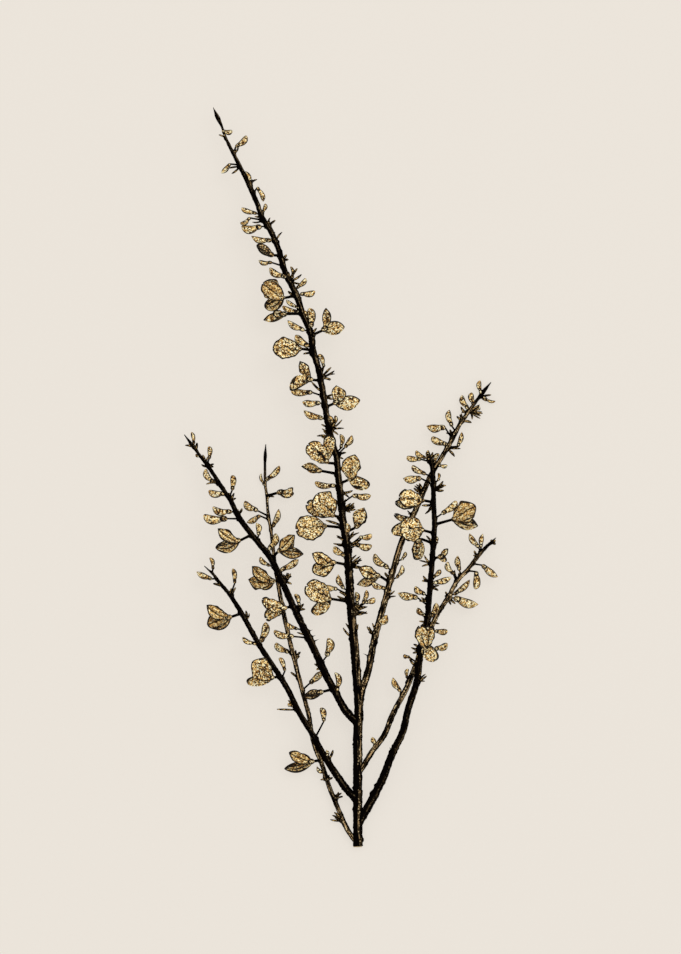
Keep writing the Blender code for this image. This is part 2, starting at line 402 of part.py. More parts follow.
def stalk_foot(points, x, y, drop):
    """Where a stalk that ends at x, y leaves the stem: nearest to it, and lower by a share of the way between."""
    target = Vector((x, y))
    nearest = min(range(len(points)), key=lambda i: (points[i].xy - target).length)
    below = max(nearest - 1, 0)
    above = min(nearest + 1, len(points) - 1)
    line = points[above] - points[below]
    along = (target - points[below].xy).dot(line.xy) / line.xy.length_squared
    foot = points[below] + line * min(max(along, 0.0), 1.0)
    away = (target - foot.xy).length
    return foot - line.normalized() * away * drop


def profile_along(start, end, profile, radius):
    """The points and the radii of a profile laid from start to end."""
    points = [start.lerp(end, share) for share, _ in profile]
    radii = [radius * girth for _, girth in profile]
    return points, radii


def add_bud(name, stem_points, bud, draw, group):
    """A bud on its short stalk: thin at the stem, full past its middle, blunt at the tip."""
    x, y, dx, dy, thickness = bud
    foot = stalk_foot(stem_points, x, y, BUD_STALK_DROP)
    radius = thickness / 2
    lowest = 1.5 * radius + TABLE_CLEARANCE
    base = Vector((x, y, max(foot.z + draw.uniform(*BUD_RISE), lowest)))
    tip = base + Vector((dx, dy, draw.uniform(*BUD_TIP_RISE)))
    tip.z = max(tip.z, lowest)
    points, radii = profile_along(base, tip, BUD_PROFILE, radius)
    for knot in points[1:-1]:
        knot.z -= BUD_SAG * thickness
    radii[0] = max(radii[0], BUD_STALK_RADIUS)
    tube(name, [foot, *points], [BUD_STALK_RADIUS, *radii], GROWTH_SIDES, group)


def add_tuft(name, stem_points, tuft, draw, group):
    """A fan of narrow leaves, each tapering from its root in the stem to its tip."""
    x, y, heading, count, length = tuft
    foot = stalk_foot(stem_points, x, y, LEAF_DROP)
    root = Vector((x, y, foot.z)).lerp(foot, LEAF_ROOT_DEPTH)
    for i in range(count):
        fan = (i - (count - 1) / 2) * LEAF_FAN / max(count - 1, 1)
        turn = math.radians(heading + fan + draw.uniform(-LEAF_SWAY, LEAF_SWAY))
        reach = length * draw.uniform(*LEAF_LENGTHS)
        tip = Vector((x + math.cos(turn) * reach, y + math.sin(turn) * reach, 0.0))
        tip.z = max(foot.z + draw.uniform(*LEAF_RISE) * reach, TABLE_CLEARANCE)
        tube(f"{name}_{i}", [root, tip], [LEAF_RADIUS, 0.0], GROWTH_SIDES, group)


def add_thorn(name, stem_points, thorn, group):
    """A short spike straight out of the stem."""
    x, y, heading = thorn
    foot = stalk_foot(stem_points, x, y, 0.0)
    turn = math.radians(heading)
    tip = Vector((x + THORN_LENGTH * math.cos(turn), y + THORN_LENGTH * math.sin(turn), foot.z + THORN_RISE))
    tube(name, [foot, tip], [THORN_RADIUS, 0.0], GROWTH_SIDES, group)


def bloom_axis(stem_points, bloom):
    """The foot of a bloom's stalk on the stem, the calyx's start, and the ways the stalk and the calyx point."""
    (x, y), lift, petals = bloom
    foot = stalk_foot(stem_points, x, y, BLOOM_STALK_DROP)
    start = Vector((x, y, foot.z + lift))
    way = (start - foot).normalized()
    heading = sum((Vector((dx, dy, 0.0)) for _, dx, dy, _ in petals), Vector()).normalized()
    return foot, start, way, (way + heading).normalized()


def add_stalk(name, stem_points, bloom, group):
    """A bloom's stalk, which ends the gap short of the calyx, also where the calyx leans over it."""
    foot, start, way, lean = bloom_axis(stem_points, bloom)
    leaning = (CALYX_PROFILE[0][1] * CALYX_RADIUS + BLOOM_STALK_RADIUS) * math.sin(way.angle(lean))
    end = start - way * (GAP + leaning)
    tube(name, [foot, end], [BLOOM_STALK_RADIUS, BLOOM_STALK_RADIUS], GROWTH_SIDES, group)


def blade_breadth(v, form):
    """Share of the full breadth at v along a petal: a narrow claw, the widest place, then the end."""
    if v <= form["widest"]:
        return PETAL_CLAW + (1 - PETAL_CLAW) * math.sin(math.pi / 2 * v / form["widest"]) ** 1.3
    past = (v - form["widest"]) / (1 - form["widest"])
    return form["end"] + (1 - form["end"]) * math.cos(math.pi / 2 * past) ** 0.8


def open_blade(u, v, along, form, turn, width):
    """A cupped blade seen on its face: its middle line arches and its edges curl up."""
    side = Vector((0.0, 0.0, 1.0)).cross(along).normalized()
    if side.y < 0:
        side = -side
    up = side.cross(along)
    if up.z < 0:
        up = -up
    across = side * math.cos(turn) - up * math.sin(turn)
    over = up * math.cos(turn) + side * math.sin(turn)
    half = width / 2 / math.cos(turn) * blade_breadth(v, form)
    arch = PETAL_ARCH * width * math.sin(math.pi * v)
    curl = PETAL_CURL * half * u * u
    return across * half * u + over * (arch + curl)


def folded_blade(u, v, along, form, opening, width):
    """A boat seen on its side: the upper flank lies level, the lower one opens under it from the fold."""
    belly = Vector((0.0, 0.0, 1.0)).cross(along).normalized()
    if belly.y * form["belly"] < 0:
        belly = -belly
    up = belly.cross(along)
    if up.z < 0:
        up = -up
    breadth = width * blade_breadth(v, form)
    fold = belly * breadth / 2
    if u >= 0:
        return fold - belly * breadth * u
    return fold + (belly * math.cos(opening) + up * math.sin(opening)) * breadth * u


def add_petal(name, root, petal, draw, group):
    """A petal from its foot at the root to its tip: a thin grid shaped by its form, then given its thickness."""
    kind, dx, dy, width = petal
    form = PETAL_FORMS[kind]
    foot = root + Vector((0.0, 0.0, form["foot"] * CALYX_RADIUS))
    run = Vector((dx, dy, form["rise"] + draw.uniform(-PETAL_SWAY, PETAL_SWAY)))
    along = run.normalized()
    folded = "belly" in form
    blade = folded_blade if folded else open_blade
    bend = math.radians(form["bend"] * draw.uniform(*PETAL_BENDS))
    shape = bmesh.new()
    columns = FOLDED_COLUMNS if folded else OPEN_COLUMNS
    bmesh.ops.create_grid(shape, x_segments=columns, y_segments=PETAL_ROWS, size=1.0)
    for knot in shape.verts:
        u, v = knot.co.x, (knot.co.y + 1) / 2
        rounding = 0.0 if folded else PETAL_ROUNDING * u * u * v
        knot.co = (foot + run * (v - rounding) + blade(u, v, along, form, bend, width)) * MM
    bmesh.ops.triangulate(shape, faces=shape.faces)
    bmesh.ops.recalc_face_normals(shape, faces=shape.faces)
    top = max(shape.faces, key=lambda face: face.calc_center_median().z)
    outward = 1.0 if top.normal.z > 0 else -1.0
    mesh = bpy.data.meshes.new(name)
    shape.to_mesh(mesh)
    shape.free()
    thing = mesh_object(name, mesh, group)
    wall = thing.modifiers.new("thickness", "SOLIDIFY")
    wall.thickness = PETAL_THICKNESS * MM
    wall.offset = outward
    thing.data = evaluated_mesh(thing)
    thing.modifiers.clear()


def join_repeats(thing, repeats, operation="UNION"):
    """Join the collection's closed shapes to the object, or cut them out of it, and drop loose scraps."""
    joint = thing.modifiers.new("join", "BOOLEAN")
    joint.operand_type = "COLLECTION"
    joint.collection = repeats
    joint.operation = operation
    joint.solver = "MANIFOLD"
    mesh = evaluated_mesh(thing)
    thing.modifiers.clear()
    thing.data = mesh
    for piece in list(repeats.objects):
        bpy.data.objects.remove(piece, do_unlink=True)
    keep_largest_body(mesh)


def drop_flaps(shape):
    """Remove each pair of faces on the same corners, which a sliver leaves when it closes up."""
    layers = {}
    for face in shape.faces:
        layers.setdefault(frozenset(face.verts), []).append(face)
    flaps = [face for faces in layers.values() if len(faces) > 1 for face in faces]
    bmesh.ops.delete(shape, geom=flaps, context="FACES")


def keep_largest_body(mesh):
    """Close up slivers and remove every loose scrap but the body with the most corners."""
    shape = bmesh.new()
    shape.from_mesh(mesh)
    bmesh.ops.triangulate(shape, faces=shape.faces)
    bmesh.ops.dissolve_degenerate(shape, edges=shape.edges, dist=MERGE_DISTANCE)
    bmesh.ops.triangulate(shape, faces=shape.faces)
    drop_flaps(shape)
    unseen = set(shape.verts)
    bodies = []
    while unseen:
        body = set()
        front = [unseen.pop()]
        while front:
            knot = front.pop()
            body.add(knot)
            for edge in knot.link_edges:
                other = edge.other_vert(knot)
                if other in unseen:
                    unseen.remove(other)
                    front.append(other)
        bodies.append(body)
    bodies.sort(key=len)
    for body in bodies[:-1]:
        bmesh.ops.delete(shape, geom=list(body), context="VERTS")
    shape.to_mesh(mesh)
    shape.free()


def finish(thing, colour, roughness, metallic):
    thing.data.materials.clear()
    thing.data.materials.append(principled(f"{thing.name}_surface", colour, roughness, metallic))
    thing.data.shade_smooth()
    thing.data.set_sharp_from_angle(angle=SHARP_ANGLE)


def main_stem_cutter(group):
    """The main stem grown by the gap, a little longer than the stem at its cut end."""
    points, radii = smooth_route(MAIN_ROUTE)
    points[0] = points[0] - Vector((0.0, 1.0, 0.0))
    tube("main_stem_cutter", points, [radius + GAP for radius in radii], MAIN_STEM_SIDES, group)


def table_cutter(group):
    """The table's top layer: what dips under it is cut to a small flat spot."""
    bpy.ops.mesh.primitive_cube_add(size=1.0)
    slab = bpy.context.object
    slab.name = "table_cutter"
    slab.scale = TABLE_SIZE
    slab.location = (0.0, 0.0, -TABLE_SIZE.z / 2)
    bpy.context.view_layer.update()
    slab.data.transform(slab.matrix_world)
    slab.matrix_world = Matrix.Identity(4)
    for owner in list(slab.users_collection):
        owner.objects.unlink(slab)
    group.objects.link(slab)


def build_stem(name, stem, spray, repeats):
    """A stem with its growth and its blooms. What dips under the table or into the main stem is cut away."""
    route, buds, tufts, blooms, colour = stem
    draw = random.Random(f"{name} {SEED}")
    points, radii = smooth_route(route)
    sides = MAIN_STEM_SIDES if name == "main" else SIDE_STEM_SIDES
    thing = tube(f"{name}_stem", points, radii, sides, spray)
    for i, bud in enumerate(buds):
        add_bud(f"bud_{i}", points, bud, draw, repeats)
    for i, tuft in enumerate(tufts):
        add_tuft(f"tuft_{i}", points, tuft, draw, repeats)
    for i, thorn in enumerate(THORNS.get(name, [])):
        add_thorn(f"thorn_{i}", points, thorn, repeats)
    for i, bloom in enumerate(blooms):
        add_stalk(f"stalk_{i}", points, bloom, repeats)
    join_repeats(thing, repeats)
    table_cutter(repeats)
    if name != "main":
        main_stem_cutter(repeats)
    join_repeats(thing, repeats, "DIFFERENCE")
    finish(thing, colour, BARK_ROUGHNESS, 0.0)
    for i, bloom in enumerate(blooms):
        build_bloom(f"{name}_bloom_{i + 1:02d}", points, bloom, spray, repeats)


def build_bloom(name, stem_points, bloom, spray, repeats):
    """A calyx with its petals, which stand in it and reach from it as far as the bloom's list says."""
    draw = random.Random(f"{name} {SEED}")
    _, start, _, lean = bloom_axis(stem_points, bloom)
    points, radii = profile_along(start, start + lean * CALYX_LENGTH, CALYX_PROFILE, CALYX_RADIUS)
    thing = tube(name, points, radii, CALYX_SIDES, spray)
    root = start + lean * CALYX_LENGTH * PETAL_ROOT
    for i, (kind, dx, dy, width) in enumerate(bloom[2]):
        reach = Vector((dx, dy, 0.0)) - (root - start)
        add_petal(f"petal_{i}", root, (kind, reach.x, reach.y, width), draw, repeats)
    join_repeats(thing, repeats)
    colour = BROWN_PETAL if name in BROWN_BLOOMS else GOLD_PETAL
    finish(thing, colour, PETAL_ROUGHNESS, PETAL_METALLIC)


def main():
    clear_scene()
    spray = new_collection("dried_broom_spray")
    repeats = new_collection("repeats")
    for name, stem in STEMS.items():
        build_stem(name, stem, spray, repeats)
    bpy.data.collections.remove(repeats)


main()
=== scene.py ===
"""The looks of a cut spray of dried broom: its bark, buds, leaves and blooms, and the pale table it lies on.

Sizes and places are in millimetres from the middle of the spray's box: x to the right, y towards the tips,
z above the table. They are turned into metres where a mesh is made. The routes and the lists of growth are
those of the part's own source, so that every fine piece stands where its solid does. Only a few petals, one
calyx, one bud and one tuft differ a little from their solids, to be closer to the photograph.
"""

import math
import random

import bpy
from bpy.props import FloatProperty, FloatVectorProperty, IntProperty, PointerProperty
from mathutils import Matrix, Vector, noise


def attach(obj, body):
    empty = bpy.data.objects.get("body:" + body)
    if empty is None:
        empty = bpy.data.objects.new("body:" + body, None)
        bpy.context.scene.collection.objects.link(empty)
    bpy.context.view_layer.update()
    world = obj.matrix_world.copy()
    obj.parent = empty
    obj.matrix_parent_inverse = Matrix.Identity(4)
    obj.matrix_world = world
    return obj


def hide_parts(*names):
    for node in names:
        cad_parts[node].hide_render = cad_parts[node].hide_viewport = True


bl_info = {
    "name": "Dried broom spray",
    "version": (1, 0, 0),
    "blender": (4, 5, 0),
    "location": "3D View > Sidebar > Broom spray",
    "description": "Grows a dried broom spray with its bark, buds, leaves and blooms",
    "category": "Add Mesh",
}

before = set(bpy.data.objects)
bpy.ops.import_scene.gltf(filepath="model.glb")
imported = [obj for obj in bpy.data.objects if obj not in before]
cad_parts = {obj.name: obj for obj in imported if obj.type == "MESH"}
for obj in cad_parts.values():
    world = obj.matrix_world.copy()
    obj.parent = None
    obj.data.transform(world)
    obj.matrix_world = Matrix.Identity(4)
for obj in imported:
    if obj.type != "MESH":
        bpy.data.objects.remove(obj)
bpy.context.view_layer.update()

MM = 0.001
SEED = 41
UP = Vector((0.0, 0.0, 1.0))
PHOTO_WIDTH = 681
PHOTO_HEIGHT = 954
PIXEL = 0.5
"""How many millimetres one pixel of the photograph covers on the spray."""

PHOTO_MIDDLE = (341.0, 477.0)
"""The pixel of the photograph, from its upper left corner, that lies over the middle of the spray's box."""

# Centre lines from the cut end or the fork to the tip: x, y, z, thickness.
MAIN_ROUTE = [
    (8.3, -184.9, 2.05, 4.5), (8.3, -161.0, 3.6, 4.4), (8.3, -130.0, 6.4, 4.3), (8.8, -114.0, 7.8, 4.2),
    (6.9, -87.0, 10.0, 4.1), (5.5, -70.5, 11.2, 4.0), (4.3, -52.5, 12.4, 3.8), (3.5, -38.5, 13.2, 3.6),
    (1.0, -21.5, 14.0, 3.3), (-1.3, 1.0, 14.8, 3.0), (-2.3, 10.0, 15.0, 2.8), (-5.0, 20.0, 15.2, 2.8),
    (-7.8, 34.0, 15.4, 2.8), (-9.2, 43.5, 15.5, 2.8), (-11.4, 54.5, 15.5, 2.8), (-13.9, 63.0, 15.5, 2.8),
    (-15.3, 72.0, 15.4, 2.8), (-18.8, 80.5, 15.2, 2.8), (-22.3, 90.5, 15.0, 2.7),
    (-27.8, 102.0, 14.6, 2.6), (-31.2, 113.5, 14.2, 2.5), (-34.7, 122.0, 13.8, 2.4),
    (-39.3, 129.5, 13.4, 2.3), (-42.7, 138.5, 12.9, 2.2), (-49.2, 152.5, 12.0, 1.9),
    (-54.8, 163.5, 11.1, 1.5), (-57.6, 169.5, 10.6, 1.2), (-59.5, 175.0, 10.2, 1.0),
    (-61.6, 179.5, 9.8, 1.3), (-64.0, 185.0, 9.3, 0.1),
]
LEFT_OUTER_ROUTE = [
    (8.3, -164.5, 3.4, 2.2), (6.7, -160.8, 3.9, 3.2), (2.8, -156.3, 4.8, 3.6), (-2.2, -149.4, 6.2, 3.3),
    (-9.9, -137.2, 8.2, 2.9), (-13.4, -130.2, 9.0, 2.7), (-20.3, -119.0, 10.0, 2.5),
    (-26.8, -106.0, 10.8, 2.5), (-34.0, -94.5, 11.2, 2.4), (-41.2, -83.5, 11.2, 2.3),
    (-48.7, -69.8, 10.8, 2.2), (-52.2, -64.0, 10.5, 2.0), (-56.4, -57.9, 10.0, 1.7),
    (-60.6, -53.0, 9.4, 1.5), (-63.6, -49.1, 8.9, 1.2), (-68.4, -44.5, 8.0, 0.3),
]
LEFT_INNER_ROUTE = [
    (8.7, -125.0, 6.9, 2.4), (6.4, -121.5, 7.3, 3.4), (2.3, -117.0, 8.0, 3.7), (-1.2, -110.9, 9.0, 3.3),
    (-7.6, -99.0, 10.8, 3.3), (-13.4, -86.4, 12.4, 3.3), (-20.3, -72.2, 13.7, 3.1),
    (-25.3, -61.5, 14.3, 3.0), (-30.8, -49.2, 14.8, 2.9), (-33.9, -42.8, 14.9, 2.8),
    (-37.8, -37.0, 14.9, 2.7), (-42.6, -31.2, 14.8, 2.6), (-50.5, -20.8, 14.2, 2.4),
    (-55.2, -11.7, 13.4, 2.0), (-59.0, -6.0, 12.8, 1.9), (-65.2, 3.6, 11.8, 1.7), (-68.6, 8.2, 11.2, 1.5),
    (-72.1, 12.8, 10.6, 1.2), (-78.4, 21.2, 9.4, 0.3),
]
LEFT_THIN_ROUTE = [
    (8.3, -183.6, 2.1, 1.2), (6.8, -182.0, 2.15, 2.0), (2.8, -176.0, 2.3, 2.3), (-0.3, -169.0, 2.6, 2.2),
    (-3.2, -162.0, 2.9, 2.1), (-5.8, -155.5, 3.1, 2.0), (-9.9, -143.0, 3.3, 2.0),
    (-12.4, -137.2, 3.3, 2.0), (-14.4, -130.2, 3.4, 2.0), (-16.1, -119.4, 3.5, 2.0),
    (-19.2, -107.9, 3.7, 2.0), (-22.6, -94.4, 3.9, 2.0), (-25.6, -82.2, 4.0, 2.0),
    (-28.0, -71.7, 4.0, 2.0), (-29.6, -64.0, 4.0, 2.0), (-31.1, -55.2, 3.9, 1.9), (-33.0, -44.0, 3.7, 1.7),
    (-34.5, -31.2, 3.2, 1.5), (-36.5, -17.5, 2.4, 1.3), (-37.2, -9.8, 1.7, 1.2), (-38.0, -2.0, 1.0, 1.2),
    (-38.1, 5.5, 0.4, 1.1), (-38.0, 10.0, 0.5, 0.9), (-37.7, 16.4, 0.9, 0.3),
]
RIGHT_UPRIGHT_ROUTE = [
    (8.3, -175.5, 2.9, 2.4), (9.9, -171.5, 3.2, 3.6), (16.9, -158.9, 5.0, 3.9), (21.7, -148.7, 7.0, 3.6),
    (25.8, -137.9, 9.0, 3.3), (30.8, -127.5, 10.6, 3.2), (33.5, -116.2, 12.0, 3.2),
    (38.0, -101.5, 13.4, 3.1), (39.7, -86.2, 14.4, 3.0), (41.5, -79.0, 14.8, 2.8),
    (43.2, -71.0, 15.1, 2.6), (44.0, -61.5, 15.4, 2.5), (46.0, -36.5, 16.0, 2.4), (46.7, -24.0, 16.0, 2.3),
    (46.3, -11.5, 15.8, 2.2), (46.0, 1.0, 15.4, 2.1), (45.2, 7.5, 15.0, 1.9), (43.8, 13.0, 14.6, 0.4),
]
RIGHT_OUTER_ROUTE = [
    (8.3, -149.5, 4.7, 1.4), (10.7, -145.5, 5.0, 2.3), (15.5, -137.5, 5.4, 2.5), (21.4, -129.5, 5.6, 2.5),
    (26.5, -117.5, 5.8, 2.5), (32.8, -105.5, 6.0, 2.4), (40.5, -86.5, 6.2, 2.3), (46.6, -72.0, 6.2, 2.2),
    (49.6, -66.5, 6.2, 2.1), (53.8, -60.0, 6.0, 2.0), (57.9, -52.5, 5.8, 1.9), (63.5, -46.2, 5.5, 1.8),
    (68.8, -39.4, 5.2, 1.7), (73.8, -34.0, 4.9, 1.4), (77.6, -30.4, 4.6, 0.3),
]
RIGHT_INNER_ROUTE = [
    (8.7, -121.0, 7.2, 1.8), (9.2, -116.0, 7.7, 2.4), (10.9, -105.5, 8.4, 3.1), (13.7, -96.5, 8.7, 3.2),
    (16.4, -82.5, 8.8, 3.1), (18.6, -74.0, 8.8, 3.0), (22.1, -61.5, 8.6, 2.9), (25.0, -50.5, 8.3, 2.8),
    (29.8, -34.0, 7.8, 2.7), (33.5, -25.5, 7.5, 2.6), (36.7, -18.0, 7.2, 2.5), (42.8, -4.0, 6.4, 2.3),
    (45.0, 1.0, 6.0, 2.2), (49.0, 7.5, 5.3, 2.1), (55.8, 19.0, 3.8, 2.0), (59.7, 26.7, 2.8, 1.8),
    (63.5, 32.0, 2.0, 1.6), (67.4, 37.5, 1.2, 1.4), (71.2, 42.5, 0.5, 1.2), (75.2, 47.5, 0.7, 0.3),
]

# Buds: x and y of the base, how far the tip lies from it in x and in y, thickness.
MAIN_BUDS = [
    (-59.2, 173.0, 5.0, 0.0, 2.5), (-52.5, 165.0, 5.4, 5.6, 3.0), (-55.5, 156.5, -4.5, -4.6, 2.5),
    (-45.0, 146.4, -2.8, 6.5, 2.0), (-41.8, 144.7, 3.0, -7.0, 2.5), (-39.1, 132.4, 1.4, 4.2, 2.0),
    (-42.2, 131.7, -7.6, 2.6, 2.5), (-45.5, 129.5, -4.8, -3.0, 2.5), (-40.0, 125.2, -9.8, -0.2, 4.0),
    (-34.9, 118.2, -9.9, 2.3, 3.2), (-34.7, 107.2, -6.5, 1.0, 2.5), (-27.6, 99.9, -8.2, 4.6, 3.5),
    (-24.2, 99.5, -1.0, 5.8, 1.5), (-22.0, 94.5, 4.6, 4.6, 2.5), (-20.2, 91.4, 7.3, 1.2, 3.0),
    (-21.3, 84.5, -6.0, 3.9, 2.0), (-21.3, 82.5, -8.0, 2.8, 2.5), (-18.5, 73.3, -8.2, 5.0, 3.2),
    (-16.4, 65.3, -6.4, 5.6, 4.0), (-16.9, 78.3, -1.6, 4.9, 2.0), (-14.8, 75.1, -0.9, 9.3, 4.0),
    (-8.5, 55.1, -2.6, 6.3, 2.5), (-14.5, 42.3, -10.5, 0.7, 3.5), (-10.6, 37.0, -8.7, 0.4, 3.5),
    (-9.2, 29.3, -9.5, 4.0, 3.5), (-3.9, 25.5, -2.5, 5.5, 2.0), (-3.7, 25.5, 1.0, 5.2, 2.0),
    (0.0, 14.5, -0.4, 7.0, 2.5), (2.0, 14.9, 3.5, 6.0, 3.0), (-2.7, -4.4, -10.4, 1.6, 3.2),
    (6.0, -9.3, 9.0, 0.0, 3.5), (2.9, -29.0, 0.0, 6.0, 2.8), (9.2, -30.3, 6.3, 1.2, 3.0),
    (7.5, -33.8, 8.0, -0.7, 3.5), (1.7, -39.2, -5.4, 4.4, 3.5), (1.2, -55.7, -2.6, 7.0, 3.0),
    (-2.0, -56.0, -6.0, 2.0, 3.0), (7.9, -63.8, -0.5, 6.3, 2.5), (11.0, -63.0, 1.8, 6.5, 2.5),
    (12.4, -62.7, 4.8, 1.7, 3.0),
]
LEFT_OUTER_BUDS = [
    (-64.8, -51.0, -7.5, 3.6, 3.0), (-64.0, -46.0, -1.6, 5.7, 2.0), (-53.1, -53.0, -1.0, 7.3, 2.5),
    (-42.6, -83.5, -6.7, 3.4, 2.5), (-39.9, -82.4, 2.3, 9.8, 4.0), (-28.0, -96.8, -2.7, 6.5, 2.5),
    (-24.5, -114.5, -2.1, 1.3, 2.0), (-8.5, -122.0, -1.5, 6.7, 3.0), (-7.0, -140.5, -0.3, 4.0, 2.0),
]
LEFT_INNER_BUDS = [
    (-73.6, 16.7, -1.2, 5.8, 2.0), (-70.3, 10.2, -2.5, 1.2, 1.5), (-65.8, 9.3, 0.0, 6.0, 2.5),
    (-64.0, -2.9, -3.7, 6.9, 3.0), (-54.3, -6.3, 0.2, 7.2, 3.0), (-58.1, -8.4, -8.2, 1.3, 3.5),
    (-54.8, -17.4, -9.4, 2.3, 3.5), (-57.1, -20.8, -11.7, 1.3, 4.5), (-41.1, -28.9, -1.2, 6.0, 3.0),
    (-36.1, -36.3, 3.6, 8.1, 3.5), (-30.1, -46.6, 8.8, 5.5, 3.5), (-35.8, -44.3, -4.7, 4.3, 2.5),
    (-20.8, -64.0, -2.3, 5.5, 2.5), (-22.0, -75.9, -5.2, 2.9, 2.5), (-23.8, -79.7, -9.8, 2.7, 3.5),
    (-7.1, -89.5, 1.0, 9.0, 4.0), (-1.9, -107.1, -1.0, 9.4, 3.0),
]
LEFT_THIN_BUDS = [
    (-37.6, -1.7, 6.9, 7.3, 3.0), (-38.4, -4.0, -1.6, 5.7, 1.5), (-41.9, -16.8, -6.5, 4.6, 3.5),
    (-40.7, -19.4, -6.5, -3.4, 3.0), (-34.2, -25.0, 3.0, 9.0, 3.0), (-26.2, -87.7, -6.9, 4.2, 3.5),
    (-15.5, -103.2, 5.9, 5.7, 3.5), (-8.0, -148.7, -4.1, 3.8, 2.0),
]
RIGHT_UPRIGHT_BUDS = [
    (42.1, 9.5, -4.8, 3.5, 2.5), (39.8, 8.9, -7.1, 0.8, 3.0), (44.0, 8.4, -0.4, 5.0, 2.0),
    (49.2, 5.7, 3.9, 0.0, 2.0), (42.1, 1.5, -6.7, 4.0, 3.0), (39.8, -0.6, -8.8, -0.2, 4.0),
    (48.7, -1.5, 0.0, 3.5, 1.5), (50.5, -18.3, 7.4, 6.1, 3.5), (47.8, -33.0, 0.0, 3.5, 1.5),
    (46.3, -50.0, 3.6, 3.7, 2.5), (46.3, -53.0, 8.8, 3.0, 3.2), (38.1, -60.2, -9.7, 2.2, 4.0),
    (41.8, -58.5, -5.0, 3.7, 3.0), (42.0, -69.4, -3.9, 4.0, 2.8), (45.0, -69.8, 2.7, 6.9, 3.5),
    (47.3, -77.0, 6.0, 0.0, 3.0), (47.0, -85.9, 6.3, 2.7, 3.5), (34.0, -90.0, -2.8, 1.1, 2.0),
]
RIGHT_OUTER_BUDS = [
    (29.7, -107.2, -3.7, 6.8, 3.0), (33.0, -100.5, 0.5, 4.5, 2.0), (17.5, -134.0, -2.0, 3.8, 2.5),
    (56.2, -48.5, -3.1, 5.9, 3.0), (59.3, -46.7, -0.8, 7.3, 3.0), (56.7, -58.8, 7.8, 7.4, 3.0),
    (56.7, -60.5, 12.0, -3.3, 4.6), (68.9, -35.2, -4.6, 6.9, 3.0), (70.0, -35.2, 1.0, 6.7, 2.5),
    (70.8, -44.2, 7.7, -5.9, 3.5), (67.7, -47.4, -0.3, -8.8, 3.5),
]
RIGHT_INNER_BUDS = [
    (21.9, -55.7, -6.3, 2.8, 3.0), (23.6, -45.5, -7.0, 7.0, 3.5), (18.5, -74.0, 4.6, 5.0, 4.0),
    (27.9, -50.4, 2.7, 6.3, 2.5), (30.6, -41.2, 1.9, 3.8, 2.0), (70.0, 42.2, -0.4, 6.2, 2.5),
    (66.4, 36.3, -1.1, 6.1, 3.0), (63.5, 34.3, -2.9, 6.7, 3.0), (67.5, 33.5, 2.0, 2.0, 2.0),
    (55.5, 25.5, -1.3, 8.1, 3.0), (52.0, 24.8, -9.2, 0.7, 4.0), (53.0, 16.2, -7.8, 3.5, 3.5),
    (58.5, 15.3, 2.0, 7.2, 2.5), (71.5, 40.0, 5.8, -2.2, 1.5), (46.7, 7.2, 2.1, 4.6, 2.5),
]

# Tufts of leaves: x and y of the foot, heading in degrees from +X, number of leaves, their length.
MAIN_TUFTS = [
    (-58.0, 169.0, 146, 1, 3.6), (-53.2, 162.4, 50, 1, 3.0), (-53.5, 154.5, 180, 1, 3.0),
    (-44.0, 146.5, 45, 1, 3.0), (-40.5, 127.5, 180, 1, 3.6), (-36.2, 126.0, 60, 2, 4.2),
    (-31.6, 118.0, 85, 2, 5.0), (-28.3, 108.3, 70, 1, 3.4), (-24.1, 99.5, 40, 2, 5.0),
    (-23.6, 90.3, 137, 1, 4.0), (-15.0, 71.5, 45, 1, 4.0), (-16.0, 61.5, 180, 1, 3.0),
    (-8.3, 50.2, 30, 3, 5.8), (-12.0, 42.5, 120, 1, 5.5), (-6.0, 41.0, 10, 1, 3.0),
    (-3.9, 24.4, 20, 2, 6.0), (-6.0, 24.4, 150, 1, 4.4), (-5.7, 20.2, 155, 2, 6.0),
    (-1.3, 11.0, 20, 1, 4.0), (2.5, -6.5, 0, 1, 3.2), (2.2, -15.6, 10, 4, 4.8), (-1.3, -24.8, 155, 1, 6.5),
    (3.0, -33.2, 160, 2, 7.0), (4.0, -33.2, 42, 3, 7.0), (5.4, -43.8, 40, 4, 5.6),
    (3.2, -61.3, 140, 3, 5.5), (7.2, -68.4, 20, 4, 6.5), (5.4, -80.6, 108, 3, 7.5),
]
LEFT_OUTER_TUFTS = [
    (-60.2, -55.2, 153, 1, 4.7), (-53.7, -58.5, 90, 2, 3.2), (-47.5, -71.7, 88, 1, 4.6),
    (-23.0, -117.0, 175, 1, 9.0), (-5.4, -141.0, 70, 1, 4.4),
]
LEFT_INNER_TUFTS = [
    (-74.4, 14.5, 157, 1, 3.5), (-72.1, 14.0, 90, 1, 3.6), (-66.4, 8.6, 137, 1, 3.9),
    (-66.7, 5.5, 165, 1, 3.2), (-66.7, 5.5, 17, 1, 3.2), (-64.0, -3.5, 180, 1, 3.2),
    (-54.5, -11.0, 95, 2, 3.6), (-51.0, -18.5, 64, 1, 3.0), (-27.6, -51.5, 55, 4, 4.0),
    (-21.2, -66.0, 20, 2, 3.6), (-10.8, -96.4, 135, 1, 3.7), (-19.3, -80.0, 138, 1, 3.7),
]
LEFT_THIN_TUFTS = [
    (-36.2, -10.0, 0, 1, 3.0), (-22.2, -90.7, 75, 2, 3.9), (-22.2, -101.0, 133, 1, 4.5),
    (-7.7, -150.6, 200, 1, 3.2), (-7.2, -150.6, 0, 1, 3.0), (-3.2, -160.8, 35, 3, 4.0),
    (-1.0, -172.3, 145, 3, 4.7),
]
